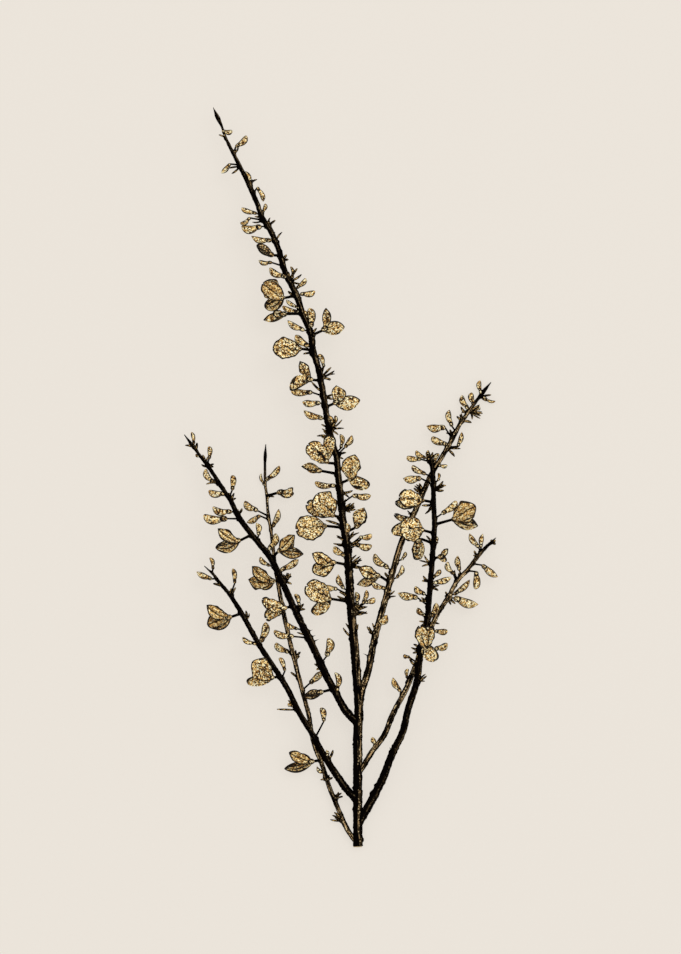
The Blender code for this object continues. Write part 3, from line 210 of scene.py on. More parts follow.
RIGHT_UPRIGHT_TUFTS = [
    (45.0, 8.0, 100, 2, 5.0), (45.9, -14.0, 205, 2, 6.0), (48.2, -5.4, 32, 2, 4.5),
    (44.7, -32.8, 124, 1, 4.1), (44.3, -43.2, 145, 2, 5.5), (44.0, -52.0, 142, 1, 3.7),
    (45.9, -55.5, 20, 1, 3.4), (43.0, -62.0, 180, 1, 4.0), (42.5, -73.0, 160, 1, 3.4),
    (43.5, -73.0, -5, 1, 5.6), (38.9, -86.2, 190, 2, 4.0), (37.0, -94.6, 105, 2, 5.5),
    (39.5, -102.5, 60, 3, 5.0),
]
RIGHT_OUTER_TUFTS = [
    (75.0, -33.0, 5, 2, 2.6), (68.0, -39.5, 117, 1, 2.8), (54.0, -60.0, 122, 1, 3.0),
    (54.0, -60.5, -44, 1, 4.2), (58.0, -50.5, 106, 1, 3.8),
]
RIGHT_INNER_TUFTS = [
    (39.8, -7.2, 120, 3, 4.0), (35.5, -19.0, 135, 1, 3.2), (24.1, -50.0, 135, 1, 3.2),
    (23.2, -60.2, 25, 2, 4.7), (15.6, -77.8, 110, 2, 4.5), (71.0, 40.1, 13, 1, 4.9),
    (62.8, 32.5, 133, 1, 4.0), (65.8, 32.5, -20, 4, 5.0), (60.5, 28.6, 120, 2, 3.2),
    (62.0, 27.5, -9, 1, 3.7), (55.9, 21.4, 165, 1, 3.4), (54.0, 14.1, 2, 1, 5.7),
]

# Short thorns: x and y of the foot, heading in degrees from +X.
THORNS = {
    "left_inner": [(-16.0, -77.0, 20), (-14.5, -79.5, 15), (-12.8, -81.5, 15)],
    "right_upright": [(24.5, -137.0, 100), (15.8, -158.5, 120)],
    "right_inner": [(17.2, -83.0, 50), (12.6, -89.5, 140)],
}

# A petal of each kind: how much of the calyx's radius its foot stands over the middle, how far its tip rises
# over its foot, its bend in degrees and where it is widest. An open petal turns about its length by its bend.
# A folded one is a boat of two flanks that open by its bend, its fold down the stem (belly -1) or up it (1).
PETAL_FORMS = {
    "banner": {"foot": 0.6, "rise": 2.4, "bend": 13.0, "widest": 0.58},
    "wing": {"foot": -0.1, "rise": 0.2, "bend": 4.0, "widest": 0.60},
    "keel": {"foot": -0.5, "rise": -0.8, "bend": 30.0, "widest": 0.52, "belly": -1},
    "hood": {"foot": 0.5, "rise": 0.6, "bend": 30.0, "widest": 0.55, "belly": 1},
}

# Blooms, each on its stem: x and y of the calyx, how far it stands over the stem, then its petals: kind, how
# far the tip lies from the calyx in x and in y, width.
MAIN_BLOOMS = [
    ((-33.5, 110.8), 0.5, [("hood", -8.6, 5.2, 4.2), ("keel", -8.0, 3.6, 3.0)]),
    ((-28.0, 89.5), 2.0, [("banner", -11.2, 7.2, 10.0), ("keel", -10.0, -5.0, 7.0)]),
    ((-27.0, 81.5), -2.0, [("wing", -7.2, 0.3, 4.0), ("keel", -11.9, -3.0, 4.5)]),
    ((-19.5, 64.0), 1.0, [("banner", -14.7, 0.0, 10.5), ("keel", -12.0, -2.0, 6.0)]),
    ((-9.7, 73.0), 0.5, [("wing", 2.2, 11.6, 4.5), ("keel", 11.5, 2.1, 7.0)]),
    ((-14.0, 48.5), 1.6, [("wing", -6.6, 9.5, 5.0), ("hood", -11.5, -5.0, 6.0)]),
    ((-4.0, 36.5), 0.5, [("banner", 1.5, 9.3, 7.0), ("keel", 13.6, 2.0, 7.5)]),
    ((-6.4, 7.0), 4.5, [("wing", 1.4, 14.2, 7.0), ("banner", -10.3, 9.4, 10.0)]),
    ((-9.5, 3.0), -1.5, [("hood", -10.4, 2.2, 4.0), ("keel", -8.0, 1.0, 3.0)]),
    ((3.5, -1.5), 1.5, [("banner", 3.5, 12.8, 9.7), ("keel", 10.8, -3.0, 6.5)]),
    ((-3.0, -19.5), 1.5, [("banner", -9.1, 11.2, 12.0), ("wing", -14.5, 6.0, 8.0)]),
    ((-7.0, -24.5), 1.0, [("banner", -15.7, -2.0, 12.5), ("keel", -13.0, -4.0, 7.0)]),
    ((6.8, -25.5), 1.0, [("hood", 4.9, 10.2, 7.0), ("wing", 6.0, 7.0, 4.0)]),
    ((-2.4, -42.8), 1.0,
     [("banner", -12.2, 4.8, 6.5), ("wing", -12.0, -4.6, 8.0), ("keel", -7.4, -7.0, 5.0)]),
    ((-4.5, -61.0), 1.5, [("banner", -13.1, 7.0, 11.0), ("keel", -9.9, -7.2, 6.5)]),
]
LEFT_OUTER_BLOOMS = [
    ((-54.5, -69.8), 1.0,
     [("banner", -12.7, 5.8, 6.5), ("wing", -12.4, -4.4, 7.5), ("keel", -8.7, -6.1, 5.0)]),
    ((-33.3, -100.2), 1.0, [("banner", -11.1, 8.1, 11.0), ("keel", -13.9, -2.3, 5.5)]),
]
LEFT_INNER_BLOOMS = [
    ((-31.7, -37.5), 1.0, [("banner", 8.6, 8.6, 7.0), ("keel", 13.1, -1.0, 6.0)]),
    ((-50.0, -31.5), 0.5, [("banner", -11.6, 5.8, 6.0), ("keel", -12.7, -4.0, 6.5)]),
    ((-32.7, -52.0), 1.0,
     [("banner", -11.8, 7.5, 6.5), ("wing", -13.7, 0.8, 7.5), ("keel", -7.3, -3.8, 4.5)]),
    ((-26.9, -65.2), 1.0, [("banner", -12.6, 4.2, 6.5), ("wing", -10.9, -5.8, 6.5)]),
    ((-8.8, -107.3), 0.5, [("keel", -10.3, -2.5, 4.5), ("hood", -9.0, -1.5, 3.5)]),
]
LEFT_THIN_BLOOMS = [
    ((-13.4, -142.3), 2.5, [("banner", -12.7, 4.5, 6.0), ("keel", -15.0, -3.8, 5.5)]),
    ((-32.1, -8.0), 3.4, [("wing", 8.2, 2.6, 4.4), ("keel", 8.5, -0.3, 4.2)]),
]
RIGHT_UPRIGHT_BLOOMS = [
    ((41.7, -11.8), 1.5, [("banner", -13.0, 1.8, 9.0), ("wing", -14.8, -1.2, 5.5)]),
    ((41.7, -26.8), 2.0,
     [("banner", -12.3, 1.2, 13.0), ("keel", -16.6, -0.3, 7.5), ("wing", -15.2, 8.2, 4.0)]),
    ((40.2, -31.0), -2.0, [("keel", -2.2, -10.5, 6.0), ("wing", -3.4, -8.0, 4.0)]),
    ((55.1, -21.4), 0.5, [("banner", 12.2, 7.2, 10.5), ("keel", 13.4, -3.1, 7.0)]),
    ((48.3, -40.2), 1.0, [("wing", 5.2, 4.5, 3.0), ("keel", 4.5, -1.8, 3.0)]),
    ((41.3, -85.8), 5.8, [("banner", -2.1, 11.8, 6.6), ("wing", 3.2, 11.6, 6.2), ("keel", 6.5, -5.6, 7.0)]),
]
RIGHT_INNER_BLOOMS = [
    ((19.8, -49.8), -0.5, [("banner", -11.0, 4.5, 6.0), ("keel", -12.0, -4.0, 5.0)]),
]

# The shape that the photograph gives the petals of each bloom, in the order of the lists: how blunt the end
# is, from -0.3 for a sharp point to 1, and how far the middle is drawn up the stem, as a share of the half
# width. A keel's middle is drawn down the stem, towards its fold.
PETAL_LOOKS = {
    "main_bloom_01": [(0.6, 0.0), (0.6, 0.0)],
    "main_bloom_02": [(0.66, 0.0), (0.75, 0.0)],
    "main_bloom_03": [(0.5, 0.0), (-0.1, -0.1)],
    "main_bloom_04": [(0.5, 0.0), (0.5, 0.0)],
    "main_bloom_05": [(-0.25, -0.3), (0.3, -0.15)],
    "main_bloom_06": [(-0.3, 0.0), (0.6, 0.35)],
    "main_bloom_07": [(-0.2, 0.35), (0.2, 0.1)],
    "main_bloom_08": [(0.8, 0.0), (0.7, 0.0)],
    "main_bloom_09": [(-0.2, 0.3), (0.0, 0.0)],
    "main_bloom_10": [(0.1, 0.2), (0.8, 0.1)],
    "main_bloom_11": [(0.6, 0.0), (0.9, 0.0)],
    "main_bloom_12": [(0.8, 0.0), (0.8, 0.0)],
    "main_bloom_13": [(-0.2, 0.0), (0.3, 0.0)],
    "main_bloom_14": [(-0.2, -0.3), (0.4, -0.2), (0.8, -0.3)],
    "main_bloom_15": [(0.8, 0.0), (0.9, 0.1)],
    "left_outer_bloom_01": [(-0.1, -0.4), (0.5, 0.1), (0.8, 0.1)],
    "left_outer_bloom_02": [(0.3, -0.1), (0.9, 0.0)],
    "left_inner_bloom_01": [(-0.3, 0.0), (-0.1, 0.0)],
    "left_inner_bloom_02": [(-0.2, -0.35), (0.5, 0.2)],
    "left_inner_bloom_03": [(-0.1, -0.35), (-0.2, -0.35), (0.6, 0.0)],
    "left_inner_bloom_04": [(0.7, -0.35), (0.9, 0.35)],
    "left_inner_bloom_05": [(-0.1, 0.0), (0.0, 0.0)],
    "left_thin_bloom_01": [(0.3, -0.2), (0.3, 0.2)],
    "left_thin_bloom_02": [(0.1, -0.8), (0.6, 0.1)],
    "right_upright_bloom_01": [(0.7, 0.0), (0.7, -0.4)],
    "right_upright_bloom_02": [(0.8, 0.0), (0.8, -0.4), (0.7, 0.0)],
    "right_upright_bloom_03": [(1.0, 0.0), (0.9, 0.0)],
    "right_upright_bloom_04": [(0.3, 0.0), (0.0, -0.1)],
    "right_upright_bloom_05": [(-0.1, 0.0), (0.5, 0.0)],
    "right_upright_bloom_06": [(0.9, -0.1), (0.9, -0.1), (0.9, 0.0)],
    "right_inner_bloom_01": [(0.0, -0.2), (-0.2, 0.2)],
}

STEMS = {
    "main": (MAIN_ROUTE, MAIN_BUDS, MAIN_TUFTS, MAIN_BLOOMS),
    "left_outer": (LEFT_OUTER_ROUTE, LEFT_OUTER_BUDS, LEFT_OUTER_TUFTS, LEFT_OUTER_BLOOMS),
    "left_inner": (LEFT_INNER_ROUTE, LEFT_INNER_BUDS, LEFT_INNER_TUFTS, LEFT_INNER_BLOOMS),
    "left_thin": (LEFT_THIN_ROUTE, LEFT_THIN_BUDS, LEFT_THIN_TUFTS, LEFT_THIN_BLOOMS),
    "right_upright": (RIGHT_UPRIGHT_ROUTE, RIGHT_UPRIGHT_BUDS, RIGHT_UPRIGHT_TUFTS, RIGHT_UPRIGHT_BLOOMS),
    "right_outer": (RIGHT_OUTER_ROUTE, RIGHT_OUTER_BUDS, RIGHT_OUTER_TUFTS, []),
    "right_inner": (RIGHT_INNER_ROUTE, RIGHT_INNER_BUDS, RIGHT_INNER_TUFTS, RIGHT_INNER_BLOOMS),
}
BROWN_STEMS = {"left_thin", "right_outer", "right_inner"}
BROWN_BLOOMS = {"main_bloom_01", "left_inner_bloom_05"}
LINED_BLOOMS = {
    "main_bloom_01", "main_bloom_02", "left_outer_bloom_01", "left_inner_bloom_01", "left_inner_bloom_02",
    "left_inner_bloom_03", "left_inner_bloom_05", "left_thin_bloom_01", "right_upright_bloom_04",
}
"""The blooms with dark lines along their petals, whose keel or hood shows the edges of the wings over it."""

RAISED_BUDS = {("right_inner", 18.5, -74.0)}
"""The buds that lie across the face of their stem, each by its stem and the x and y of its base."""

BUD_RAISE = 2.6
"""How far such a bud is raised over the place of its solid."""

# How the growth leaves its stem, as in the part's source. A drop is a share of the way that it has run, and
# where there are two values, one between them is drawn for each bud, leaf or petal.
TABLE_CLEARANCE = 0.3
BUD_REST = 0.75
BUD_STALK_DROP = 0.6
BUD_RISE = (-0.8, 1.2)
BUD_TIP_RISE = (-1.0, 1.6)
BLOOM_STALK_DROP = 0.25
LEAF_FAN = 42.0
LEAF_SWAY = 5.0
LEAF_LENGTHS = (0.88, 1.08)
LEAF_RISE = (-0.35, 0.5)
LEAF_DROP = 0.2
LEAF_ROOT_DEPTH = 0.9
THORN_LENGTH = 2.0
THORN_RISE = 0.3
PETAL_ARCH = 0.10
PETAL_CURL = 0.10
PETAL_SWAY = 0.4
PETAL_BENDS = (0.8, 1.25)
CALYX_LENGTH = 3.2
CALYX_RADIUS = 1.3
PETAL_ROOT = 0.6
LEAST_TIP = 0.1


class Stem:
    """A stem's smooth middle line, finely divided, with the places of all that grows on it."""

    def __init__(self, name, step):
        self.name = name
        self.route, self.buds, self.tufts, self.blooms = STEMS[name]
        self.points = []
        last = len(self.route) - 1
        for i in range(last):
            before, start, end, after = (
                Vector(self.route[j]) for j in (max(i - 1, 0), i, i + 1, min(i + 2, last))
            )
            pieces = max(1, round((end.xyz - start.xyz).length / step))
            for k in range(pieces):
                t = k / pieces
                knot = 0.5 * (
                    2 * start
                    + (end - before) * t
                    + (2 * before - 5 * start + 4 * end - after) * t**2
                    + (3 * start - before - 3 * end + after) * t**3
                )
                knot.w = max(knot.w, LEAST_TIP)
                self.points.append(knot)
        self.points.append(Vector(self.route[last]))
        self.frames = [self.frame(i) for i in range(len(self.points))]
        self.arcs = [0.0]
        for a, b in zip(self.points, self.points[1:]):
            self.arcs.append(self.arcs[-1] + (b.xyz - a.xyz).length)

    def frame(self, i):
        """The middle, the way to the right and up, and the radius at a point of the line."""
        below, above = self.points[max(i - 1, 0)], self.points[min(i + 1, len(self.points) - 1)]
        ahead = (above.xyz - below.xyz).normalized()
        right = ahead.cross(UP).normalized()
        return self.points[i].xyz, right, right.cross(ahead), self.points[i].w / 2

    def nearest(self, x, y):
        target = Vector((x, y))
        return min(range(len(self.points)), key=lambda i: (self.points[i].xy - target).length)

    def foot(self, x, y, drop):
        """Where what ends at x, y leaves the stem: nearest to it, and lower by a share of the way between."""
        i = self.nearest(x, y)
        middle, right, up, _ = self.frames[i]
        ahead = up.cross(right)
        away = (Vector((x, y)) - middle.xy).length
        return middle - ahead * away * drop

    def growth(self):
        """Buds as foot, base, tip and thickness; leaves as root and tip; thorns likewise."""
        draw = random.Random(f"{self.name} {SEED}")
        buds = []
        for x, y, dx, dy, thickness in self.buds:
            foot = self.foot(x, y, BUD_STALK_DROP)
            lowest = BUD_REST * thickness + TABLE_CLEARANCE
            base = Vector((x, y, max(foot.z + draw.uniform(*BUD_RISE), lowest)))
            tip = base + Vector((dx, dy, draw.uniform(*BUD_TIP_RISE)))
            tip.z = max(tip.z, lowest)
            if (self.name, x, y) in RAISED_BUDS:
                base.z += BUD_RAISE
                tip.z += BUD_RAISE
            buds.append((foot, base, tip, thickness))
        leaves = []
        for x, y, heading, count, length in self.tufts:
            foot = self.foot(x, y, LEAF_DROP)
            root = Vector((x, y, foot.z)).lerp(foot, LEAF_ROOT_DEPTH)
            for i in range(count):
                fan = (i - (count - 1) / 2) * LEAF_FAN / max(count - 1, 1)
                turn = math.radians(heading + fan + draw.uniform(-LEAF_SWAY, LEAF_SWAY))
                reach = length * draw.uniform(*LEAF_LENGTHS)
                tip = Vector((x + math.cos(turn) * reach, y + math.sin(turn) * reach, 0.0))
                tip.z = max(foot.z + draw.uniform(*LEAF_RISE) * reach, TABLE_CLEARANCE)
                leaves.append((root, tip))
        thorns = []
        for x, y, heading in THORNS.get(self.name, []):
            foot = self.foot(x, y, 0.0)
            turn = math.radians(heading)
            out = Vector((math.cos(turn) * THORN_LENGTH, math.sin(turn) * THORN_LENGTH, THORN_RISE))
            thorns.append((foot, Vector((x, y, foot.z)) + out))
        return buds, leaves, thorns

    def bloom_axis(self, bloom):
        """The foot of a bloom's stalk, the calyx's start, and the way that the calyx leans."""
        (x, y), lift, petals = bloom
        foot = self.foot(x, y, BLOOM_STALK_DROP)
        start = Vector((x, y, foot.z + lift))
        way = (start - foot).normalized()
        heading = sum((Vector((dx, dy, 0.0)) for _, dx, dy, _ in petals), Vector()).normalized()
        return foot, start, (way + heading).normalized()


def all_stems(context):
    """Every stem, divided as finely as the stems' settings say."""
    return [Stem(name, context.scene.broom_stems.ring_step / MM) for name in STEMS]


class StemSettings(bpy.types.PropertyGroup):
    """The make of the stems, their stalks and their thorns."""

    ring_step: FloatProperty(
        name="Ring step", description="Distance between two rings of a stem", default=0.8 * MM, unit="LENGTH"
    )
    sides: IntProperty(name="Sides", description="Number of sides round a stem", default=18, min=6)
    ridges: IntProperty(name="Ridges", description="Number of ridges along a stem", default=5, min=0)
    ridge_height: FloatProperty(
        name="Ridge height", description="Height of a ridge, as a share of the radius",
        default=0.06, subtype="FACTOR",
    )
    grain: FloatProperty(
        name="Grain", description="How uneven the bark is, as a share of the radius",
        default=0.13, subtype="FACTOR",
    )
    swelling: FloatProperty(
        name="Swelling", description="How far a stem swells where something grows",
        default=0.75 * MM, unit="LENGTH",
    )
    cover: FloatProperty(
        name="Cover", description="How far the bark lies over the stem's wood",
        default=0.15 * MM, unit="LENGTH",
    )
    bark_colour: FloatVectorProperty(
        name="Bark", description="Colour of the dark bark",
        default=(0.0020, 0.0012, 0.0010), subtype="COLOR", max=1.0,
    )
    # The streaks' gold also paints the highlight along the stems' right side.
    streak_colour: FloatVectorProperty(
        name="Streaks", description="Colour of the streaks in it",
        default=(0.58, 0.38, 0.18), subtype="COLOR", max=1.0,
    )


class BudSettings(bpy.types.PropertyGroup):
    """The make of the buds and the leaves."""

    sides: IntProperty(name="Sides", description="Number of sides round a bud", default=14, min=6)
    rings: IntProperty(name="Rings", description="Number of rings along a bud", default=14, min=6)
    depth: FloatProperty(
        name="Depth", description="How deep a bud is, as a share of its thickness",
        default=0.90, subtype="FACTOR",
    )
    curve: FloatProperty(
        name="Curve", description="How far a bud bends, as a share of its length",
        default=0.12, subtype="FACTOR",
    )
    leaf_width: FloatProperty(
        name="Leaf width", description="Width of a leaf of the tufts", default=1.25 * MM, unit="LENGTH"
    )
    leaf_thickness: FloatProperty(
        name="Leaf thickness", description="Thickness of a leaf", default=0.2 * MM, unit="LENGTH"
    )


class PetalSettings(bpy.types.PropertyGroup):
    """The make of the petals, and the ink of all margins, veins and leaves."""

    columns: IntProperty(name="Columns", description="Number of faces across a petal", default=24, min=8)
    thickness: FloatProperty(
        name="Thickness", description="Thickness of a petal", default=0.22 * MM, unit="LENGTH"
    )
    ruffle: FloatProperty(
        name="Ruffle", description="How far the margin waves, as a share of the half width",
        default=0.12, subtype="FACTOR",
    )
    crumple: FloatProperty(
        name="Crumple", description="How far a dry petal crumples", default=0.45 * MM, unit="LENGTH"
    )
    crease: FloatProperty(
        name="Crease", description="Depth of an open petal's middle crease", default=0.55 * MM, unit="LENGTH"
    )
    ink_colour: FloatVectorProperty(
        name="Ink", description="Colour of margins, veins and leaves",
        default=(0.008, 0.0045, 0.002), subtype="COLOR", max=1.0,
    )


class StageSettings(bpy.types.PropertyGroup):
    """The table, the light and the camera's place."""

    floor_size: FloatProperty(name="Table size", description="Side of the table", default=4.0, unit="LENGTH")
    floor_colour: FloatVectorProperty(
        name="Table", description="Colour of the table",
        default=(0.831, 0.776, 0.702), subtype="COLOR", max=1.0,
    )
    floor_glow: FloatProperty(
        name="Glow", description="How much of the table's brightness comes through it from below",
        default=0.8, subtype="FACTOR",
    )
    sky_strength: FloatProperty(name="Sky", description="Strength of the even light", default=0.86)
    lamp_power: FloatProperty(name="Lamp", description="Power of the soft lamp", default=11.0, unit="POWER")
    camera_height: FloatProperty(
        name="Camera height", description="How high the camera hangs over the spray",
        default=5.0, unit="LENGTH",
    )


class Value:
    """A socket in a finish. Sums and products of it add Math nodes."""

    def __init__(self, finish, socket):
        self.finish = finish
        self.socket = socket

    def __add__(self, other):
        return self.finish.math("ADD", self, other)

    def __radd__(self, other):
        return self.finish.math("ADD", other, self)

    def __sub__(self, other):
        return self.finish.math("SUBTRACT", self, other)

    def __rsub__(self, other):
        return self.finish.math("SUBTRACT", other, self)

    def __mul__(self, other):
        return self.finish.math("MULTIPLY", self, other)

    def __rmul__(self, other):
        return self.finish.math("MULTIPLY", other, self)

    def __abs__(self):
        return self.finish.math("ABSOLUTE", self)


class Finish:
    """A material on a Principled BSDF, with short ways to add its nodes."""

    def __init__(self, name, gloss=0.15):
        self.material = bpy.data.materials.new(name)
        self.material.use_nodes = True
        self.tree = self.material.node_tree
        self.shader = self.tree.nodes["Principled BSDF"]
        self.shader.inputs["Specular IOR Level"].default_value = gloss

    def feed(self, socket, value):
        if isinstance(value, Value):
            self.tree.links.new(value.socket, socket)
        else:
            socket.default_value = value

    def node(self, kind, settings, inputs, output=0):
        """Add a node: its settings first, then the values or links of its sockets. Returns one output."""
        made = self.tree.nodes.new(kind)
        for key, setting in settings.items():
            if key == "stops":
                self.set_stops(made.color_ramp, setting)
            else:
                setattr(made, key, setting)
        for key, value in inputs.items():
            self.feed(made.inputs[key], value)
        return Value(self, made.outputs[output])

    @staticmethod
    def set_stops(ramp, stops):
        while len(ramp.elements) < len(stops):
            ramp.elements.new(1.0)
        for element, (place, colour) in zip(ramp.elements, stops):
            element.position = place
            element.color = (*colour, 1.0)

    def math(self, operation, *values):
        return self.node("ShaderNodeMath", {"operation": operation}, dict(enumerate(values)))

    def greatest(self, *values):
        made = values[0]
        for value in values[1:]:
            made = self.math("MAXIMUM", made, value)
        return made

    def millimetres(self):
        """The place on the piece in millimetres, the same for every piece that lies at the origin."""
        place = self.node("ShaderNodeTexCoord", {}, {}, "Object")
        return self.node("ShaderNodeVectorMath", {"operation": "SCALE"}, {"Vector": place, "Scale": 1 / MM})

    def marked(self, name):
        """The three values that a piece carries under a name."""
        vector = self.node("ShaderNodeAttribute", {"attribute_name": name}, {}, "Vector")
        return [self.node("ShaderNodeSeparateXYZ", {}, {0: vector}, axis) for axis in "XYZ"]

    def flecks(self, place, size):
        """A chance value between 0 and 1 in each cell of about this size in millimetres."""
        colour = self.node("ShaderNodeTexVoronoi", {}, {"Vector": place, "Scale": 1 / size}, "Color")
        return self.node("ShaderNodeSeparateColor", {}, {0: colour}, 0)

    def cloud(self, place, size, detail=2.0):
        """Smooth noise between 0 and 1 whose patches are about this size in millimetres."""
        return self.node("ShaderNodeTexNoise", {}, {"Vector": place, "Scale": 1 / size, "Detail": detail}, 0)

    def step(self, value, low, high):
        """0 below low, 1 above high, smooth between them."""
        inputs = {"Value": value, "From Min": low, "From Max": high}
        return self.node("ShaderNodeMapRange", {"interpolation_type": "SMOOTHSTEP"}, inputs)

    def line(self, distance, width):
        """1 on a line of this half width, fading out over as much again."""
        return 1.0 - self.step(distance, width, 2 * width)

    def ramp(self, value, stops):
        return self.node("ShaderNodeValToRGB", {"stops": stops}, {0: value})

    def mix(self, share, first, second):
        """The first colour where the share is 0, the second where it is 1."""
        return self.node("ShaderNodeMix", {"data_type": "RGBA"}, {0: share, 6: first, 7: second}, 2)

    def surface(self, colour, roughness, metallic, height, depth):
        """Connect what varies to the shader. The height, 0 to 1, gives a relief as deep in millimetres."""
        self.feed(self.shader.inputs["Base Color"], colour)
        self.feed(self.shader.inputs["Roughness"], roughness)
        self.feed(self.shader.inputs["Metallic"], metallic)
        inputs = {"Strength": 1.0, "Distance": depth * MM, "Height": height}
        self.feed(self.shader.inputs["Normal"], self.node("ShaderNodeBump", {}, inputs))
        return self.material


GOLD_STOPS = [
    (0.24, (0.035, 0.013, 0.003)), (0.37, (0.21, 0.095, 0.022)), (0.50, (0.52, 0.275, 0.075)),
    (0.63, (0.92, 0.57, 0.18)), (0.77, (1.0, 0.77, 0.33)), (0.92, (1.0, 0.92, 0.62)),
]
BROWN_STOPS = [
    (0.32, (0.012, 0.006, 0.002)), (0.50, (0.12, 0.055, 0.015)), (0.62, (0.45, 0.26, 0.085)),
    (0.76, (0.90, 0.62, 0.26)), (0.92, (1.0, 0.88, 0.55)),
]
FLECK = 0.52
"""Size of the largest flecks on petals and buds, in millimetres."""

# How much the flecks of both sizes and their patches brighten the gold, and how dark it is under them.
LARGE_FLECKS = 1.12
SMALL_FLECKS = 0.24
FLECK_PATCHES = 0.40
UNDER_FLECKS = 0.37

# The gold between long lines: its contrast, the brightness that it is drawn towards, and the brown of a
# painted shade that darkens it from one line to the next, as on a relief lit from one side, and how far.
SOFT_CONTRAST = 0.7
MIDDLE_GOLD = 0.66
LINED_SHADE = (0.10, 0.05, 0.015, 1.0)
LINED_SHADE_SHARE = 0.45

# How the gold shines. It grows metallic and smooth from one brightness of a fleck to the other. The relief is
# in millimetres, and the lines lie deeper than the flecks by a share of it.
GOLD_GLOSS = 0.08
GOLD_METALLIC = 0.55
METALLIC_FLECKS = (0.45, 0.75)
GOLD_ROUGHNESS = 0.62
GOLD_SMOOTHING = 0.28
SMOOTH_FLECKS = (0.45, 0.85)
INK_DEPTH = 0.8
GOLD_RELIEF = 0.12


def glitter(finish, place, stops, contrast=1.0):
    """The flecked gold of dry petals: its colour, and how bright each fleck is."""
    bright = (
        LARGE_FLECKS * finish.flecks(place, FLECK)
        + SMALL_FLECKS * finish.flecks(place, FLECK / 2)
        + FLECK_PATCHES * finish.cloud(place, 3.0 * FLECK)
        - UNDER_FLECKS
    )
    if contrast < 1.0:
        bright = contrast * bright + MIDDLE_GOLD * (1.0 - contrast)
    return finish.ramp(bright, stops), bright


def inked_gold(finish, colour, bright, inked, ink):
    """The gold with its dark lines on it: bright flecks stand up and shine, the lines lie deep and dull."""
    metallic = finish.step(bright, *METALLIC_FLECKS) * (1.0 - inked) * GOLD_METALLIC
    roughness = GOLD_ROUGHNESS - GOLD_SMOOTHING * finish.step(bright, *SMOOTH_FLECKS)
    height = bright - INK_DEPTH * inked
    return finish.surface(finish.mix(inked, colour, ink), roughness, metallic, height, GOLD_RELIEF)


# The dark lines of a petal. A gauge is half a line's breadth in millimetres, a wander is how far it strays, a
# count is how many lines lie in the half width or in a millimetre, and an end is where they fade out.
MARGIN_GAUGE = 0.32
MARGIN_WANDER = 0.5
MARGIN_FOLDED = 0.12
LINE_GAUGE = 0.18
LINE_COUNT = 1.2
LINE_START = 0.15
LINE_WANDER = 0.7
LINE_SPREAD = 0.83
CREASE_GAUGE = 0.20
CREASED_HALVES = (0.8, 2.4)
CREASE_END = (1.15, 1.35)
VEIN_WANDER = 1.6
VEIN_COUNT = 0.55
VEIN_EDGE = (0.40, 0.48)
VEIN_END = (0.72, 0.92)
VEIN_FOLDED = 0.2
VEIN_INK = 0.8
SMALL_WAVES = 1.4
LONG_WAVES = 6.0


def petal_finish(name, stops, ink, lined=False):
    """Gold leafed with flecks, inked along the margin, the fold or crease and the veins, or in long lines."""
    finish = Finish(name, GOLD_GLOSS)
    place = finish.millimetres()
    across, along, half = finish.marked("blade")
    rim, folded, _ = finish.marked("margin")
    colour, bright = glitter(finish, place, stops, SOFT_CONTRAST if lined else 1.0)
    uneven = finish.cloud(place, SMALL_WAVES)
    sweep = finish.cloud(place, LONG_WAVES)
    rim = rim + MARGIN_WANDER * uneven - MARGIN_WANDER / 2 + MARGIN_FOLDED * folded
    margin = finish.line(rim, MARGIN_GAUGE)
    if lined:
        strand = finish.math("FRACT", LINE_COUNT * across + LINE_WANDER * sweep + LINE_START)
        long_lines = finish.line(abs(strand - 0.5) * half * LINE_SPREAD, LINE_GAUGE)
        # Painted shade: the gold darkens across each strip between the long lines.
        colour = finish.mix(LINED_SHADE_SHARE * strand, colour, LINED_SHADE)
        return inked_gold(finish, colour, bright, finish.greatest(margin, long_lines), ink)
    bowed_across = (across + VEIN_WANDER * sweep - VEIN_WANDER / 2) * half
    crease = finish.line(abs(bowed_across), CREASE_GAUGE) * finish.step(half, *CREASED_HALVES)
    crease = crease * (1.0 - finish.step(along + uneven, *CREASE_END))
    veins = abs(finish.math("FRACT", bowed_across * VEIN_COUNT) - 0.5)
    fading = 1.0 - finish.step(along - VEIN_FOLDED * folded + uneven, *VEIN_END)
    vein = finish.step(veins, *VEIN_EDGE) * fading
    return inked_gold(finish, colour, bright, finish.greatest(margin, crease, VEIN_INK * vein), ink)


POD_WAVES = 1.2
POD_EDGE_WANDER = 0.24
POD_TIP_WANDER = 0.10
POD_TIP_FADE = 0.06
POD_SEAM_PLACE = 0.42
POD_SEAM_WANDER = 0.3
POD_SEAM_GAUGE = 0.06
POD_SEAM_GAPS = (0.50, 0.60)
POD_SEAM_INK = 0.7


def pod_finish(name, stops, ink, rim, end):
    """The same gold on buds and calyces, inked as broad as the rim along both edges and beyond the end."""
    finish = Finish(name, GOLD_GLOSS)
    place = finish.millimetres()
    across, radius, along = finish.marked("round")
    colour, bright = glitter(finish, place, stops)
    uneven = finish.cloud(place, POD_WAVES)
    from_edge = (1.0 - abs(across)) * radius + POD_EDGE_WANDER * uneven - POD_EDGE_WANDER / 2
    edge = finish.line(from_edge, rim)
    tip = finish.step(along + POD_TIP_WANDER * uneven, end, end + POD_TIP_FADE)
    seam = finish.line(abs(across - POD_SEAM_PLACE - POD_SEAM_WANDER * uneven), POD_SEAM_GAUGE)
    seam = seam * finish.step(uneven, *POD_SEAM_GAPS) * POD_SEAM_INK
    return inked_gold(finish, colour, bright, finish.greatest(edge, tip, seam), ink)


BROWN_SHARE = 0.11
"""How bright the bark's brown is beside the gold of its streaks."""

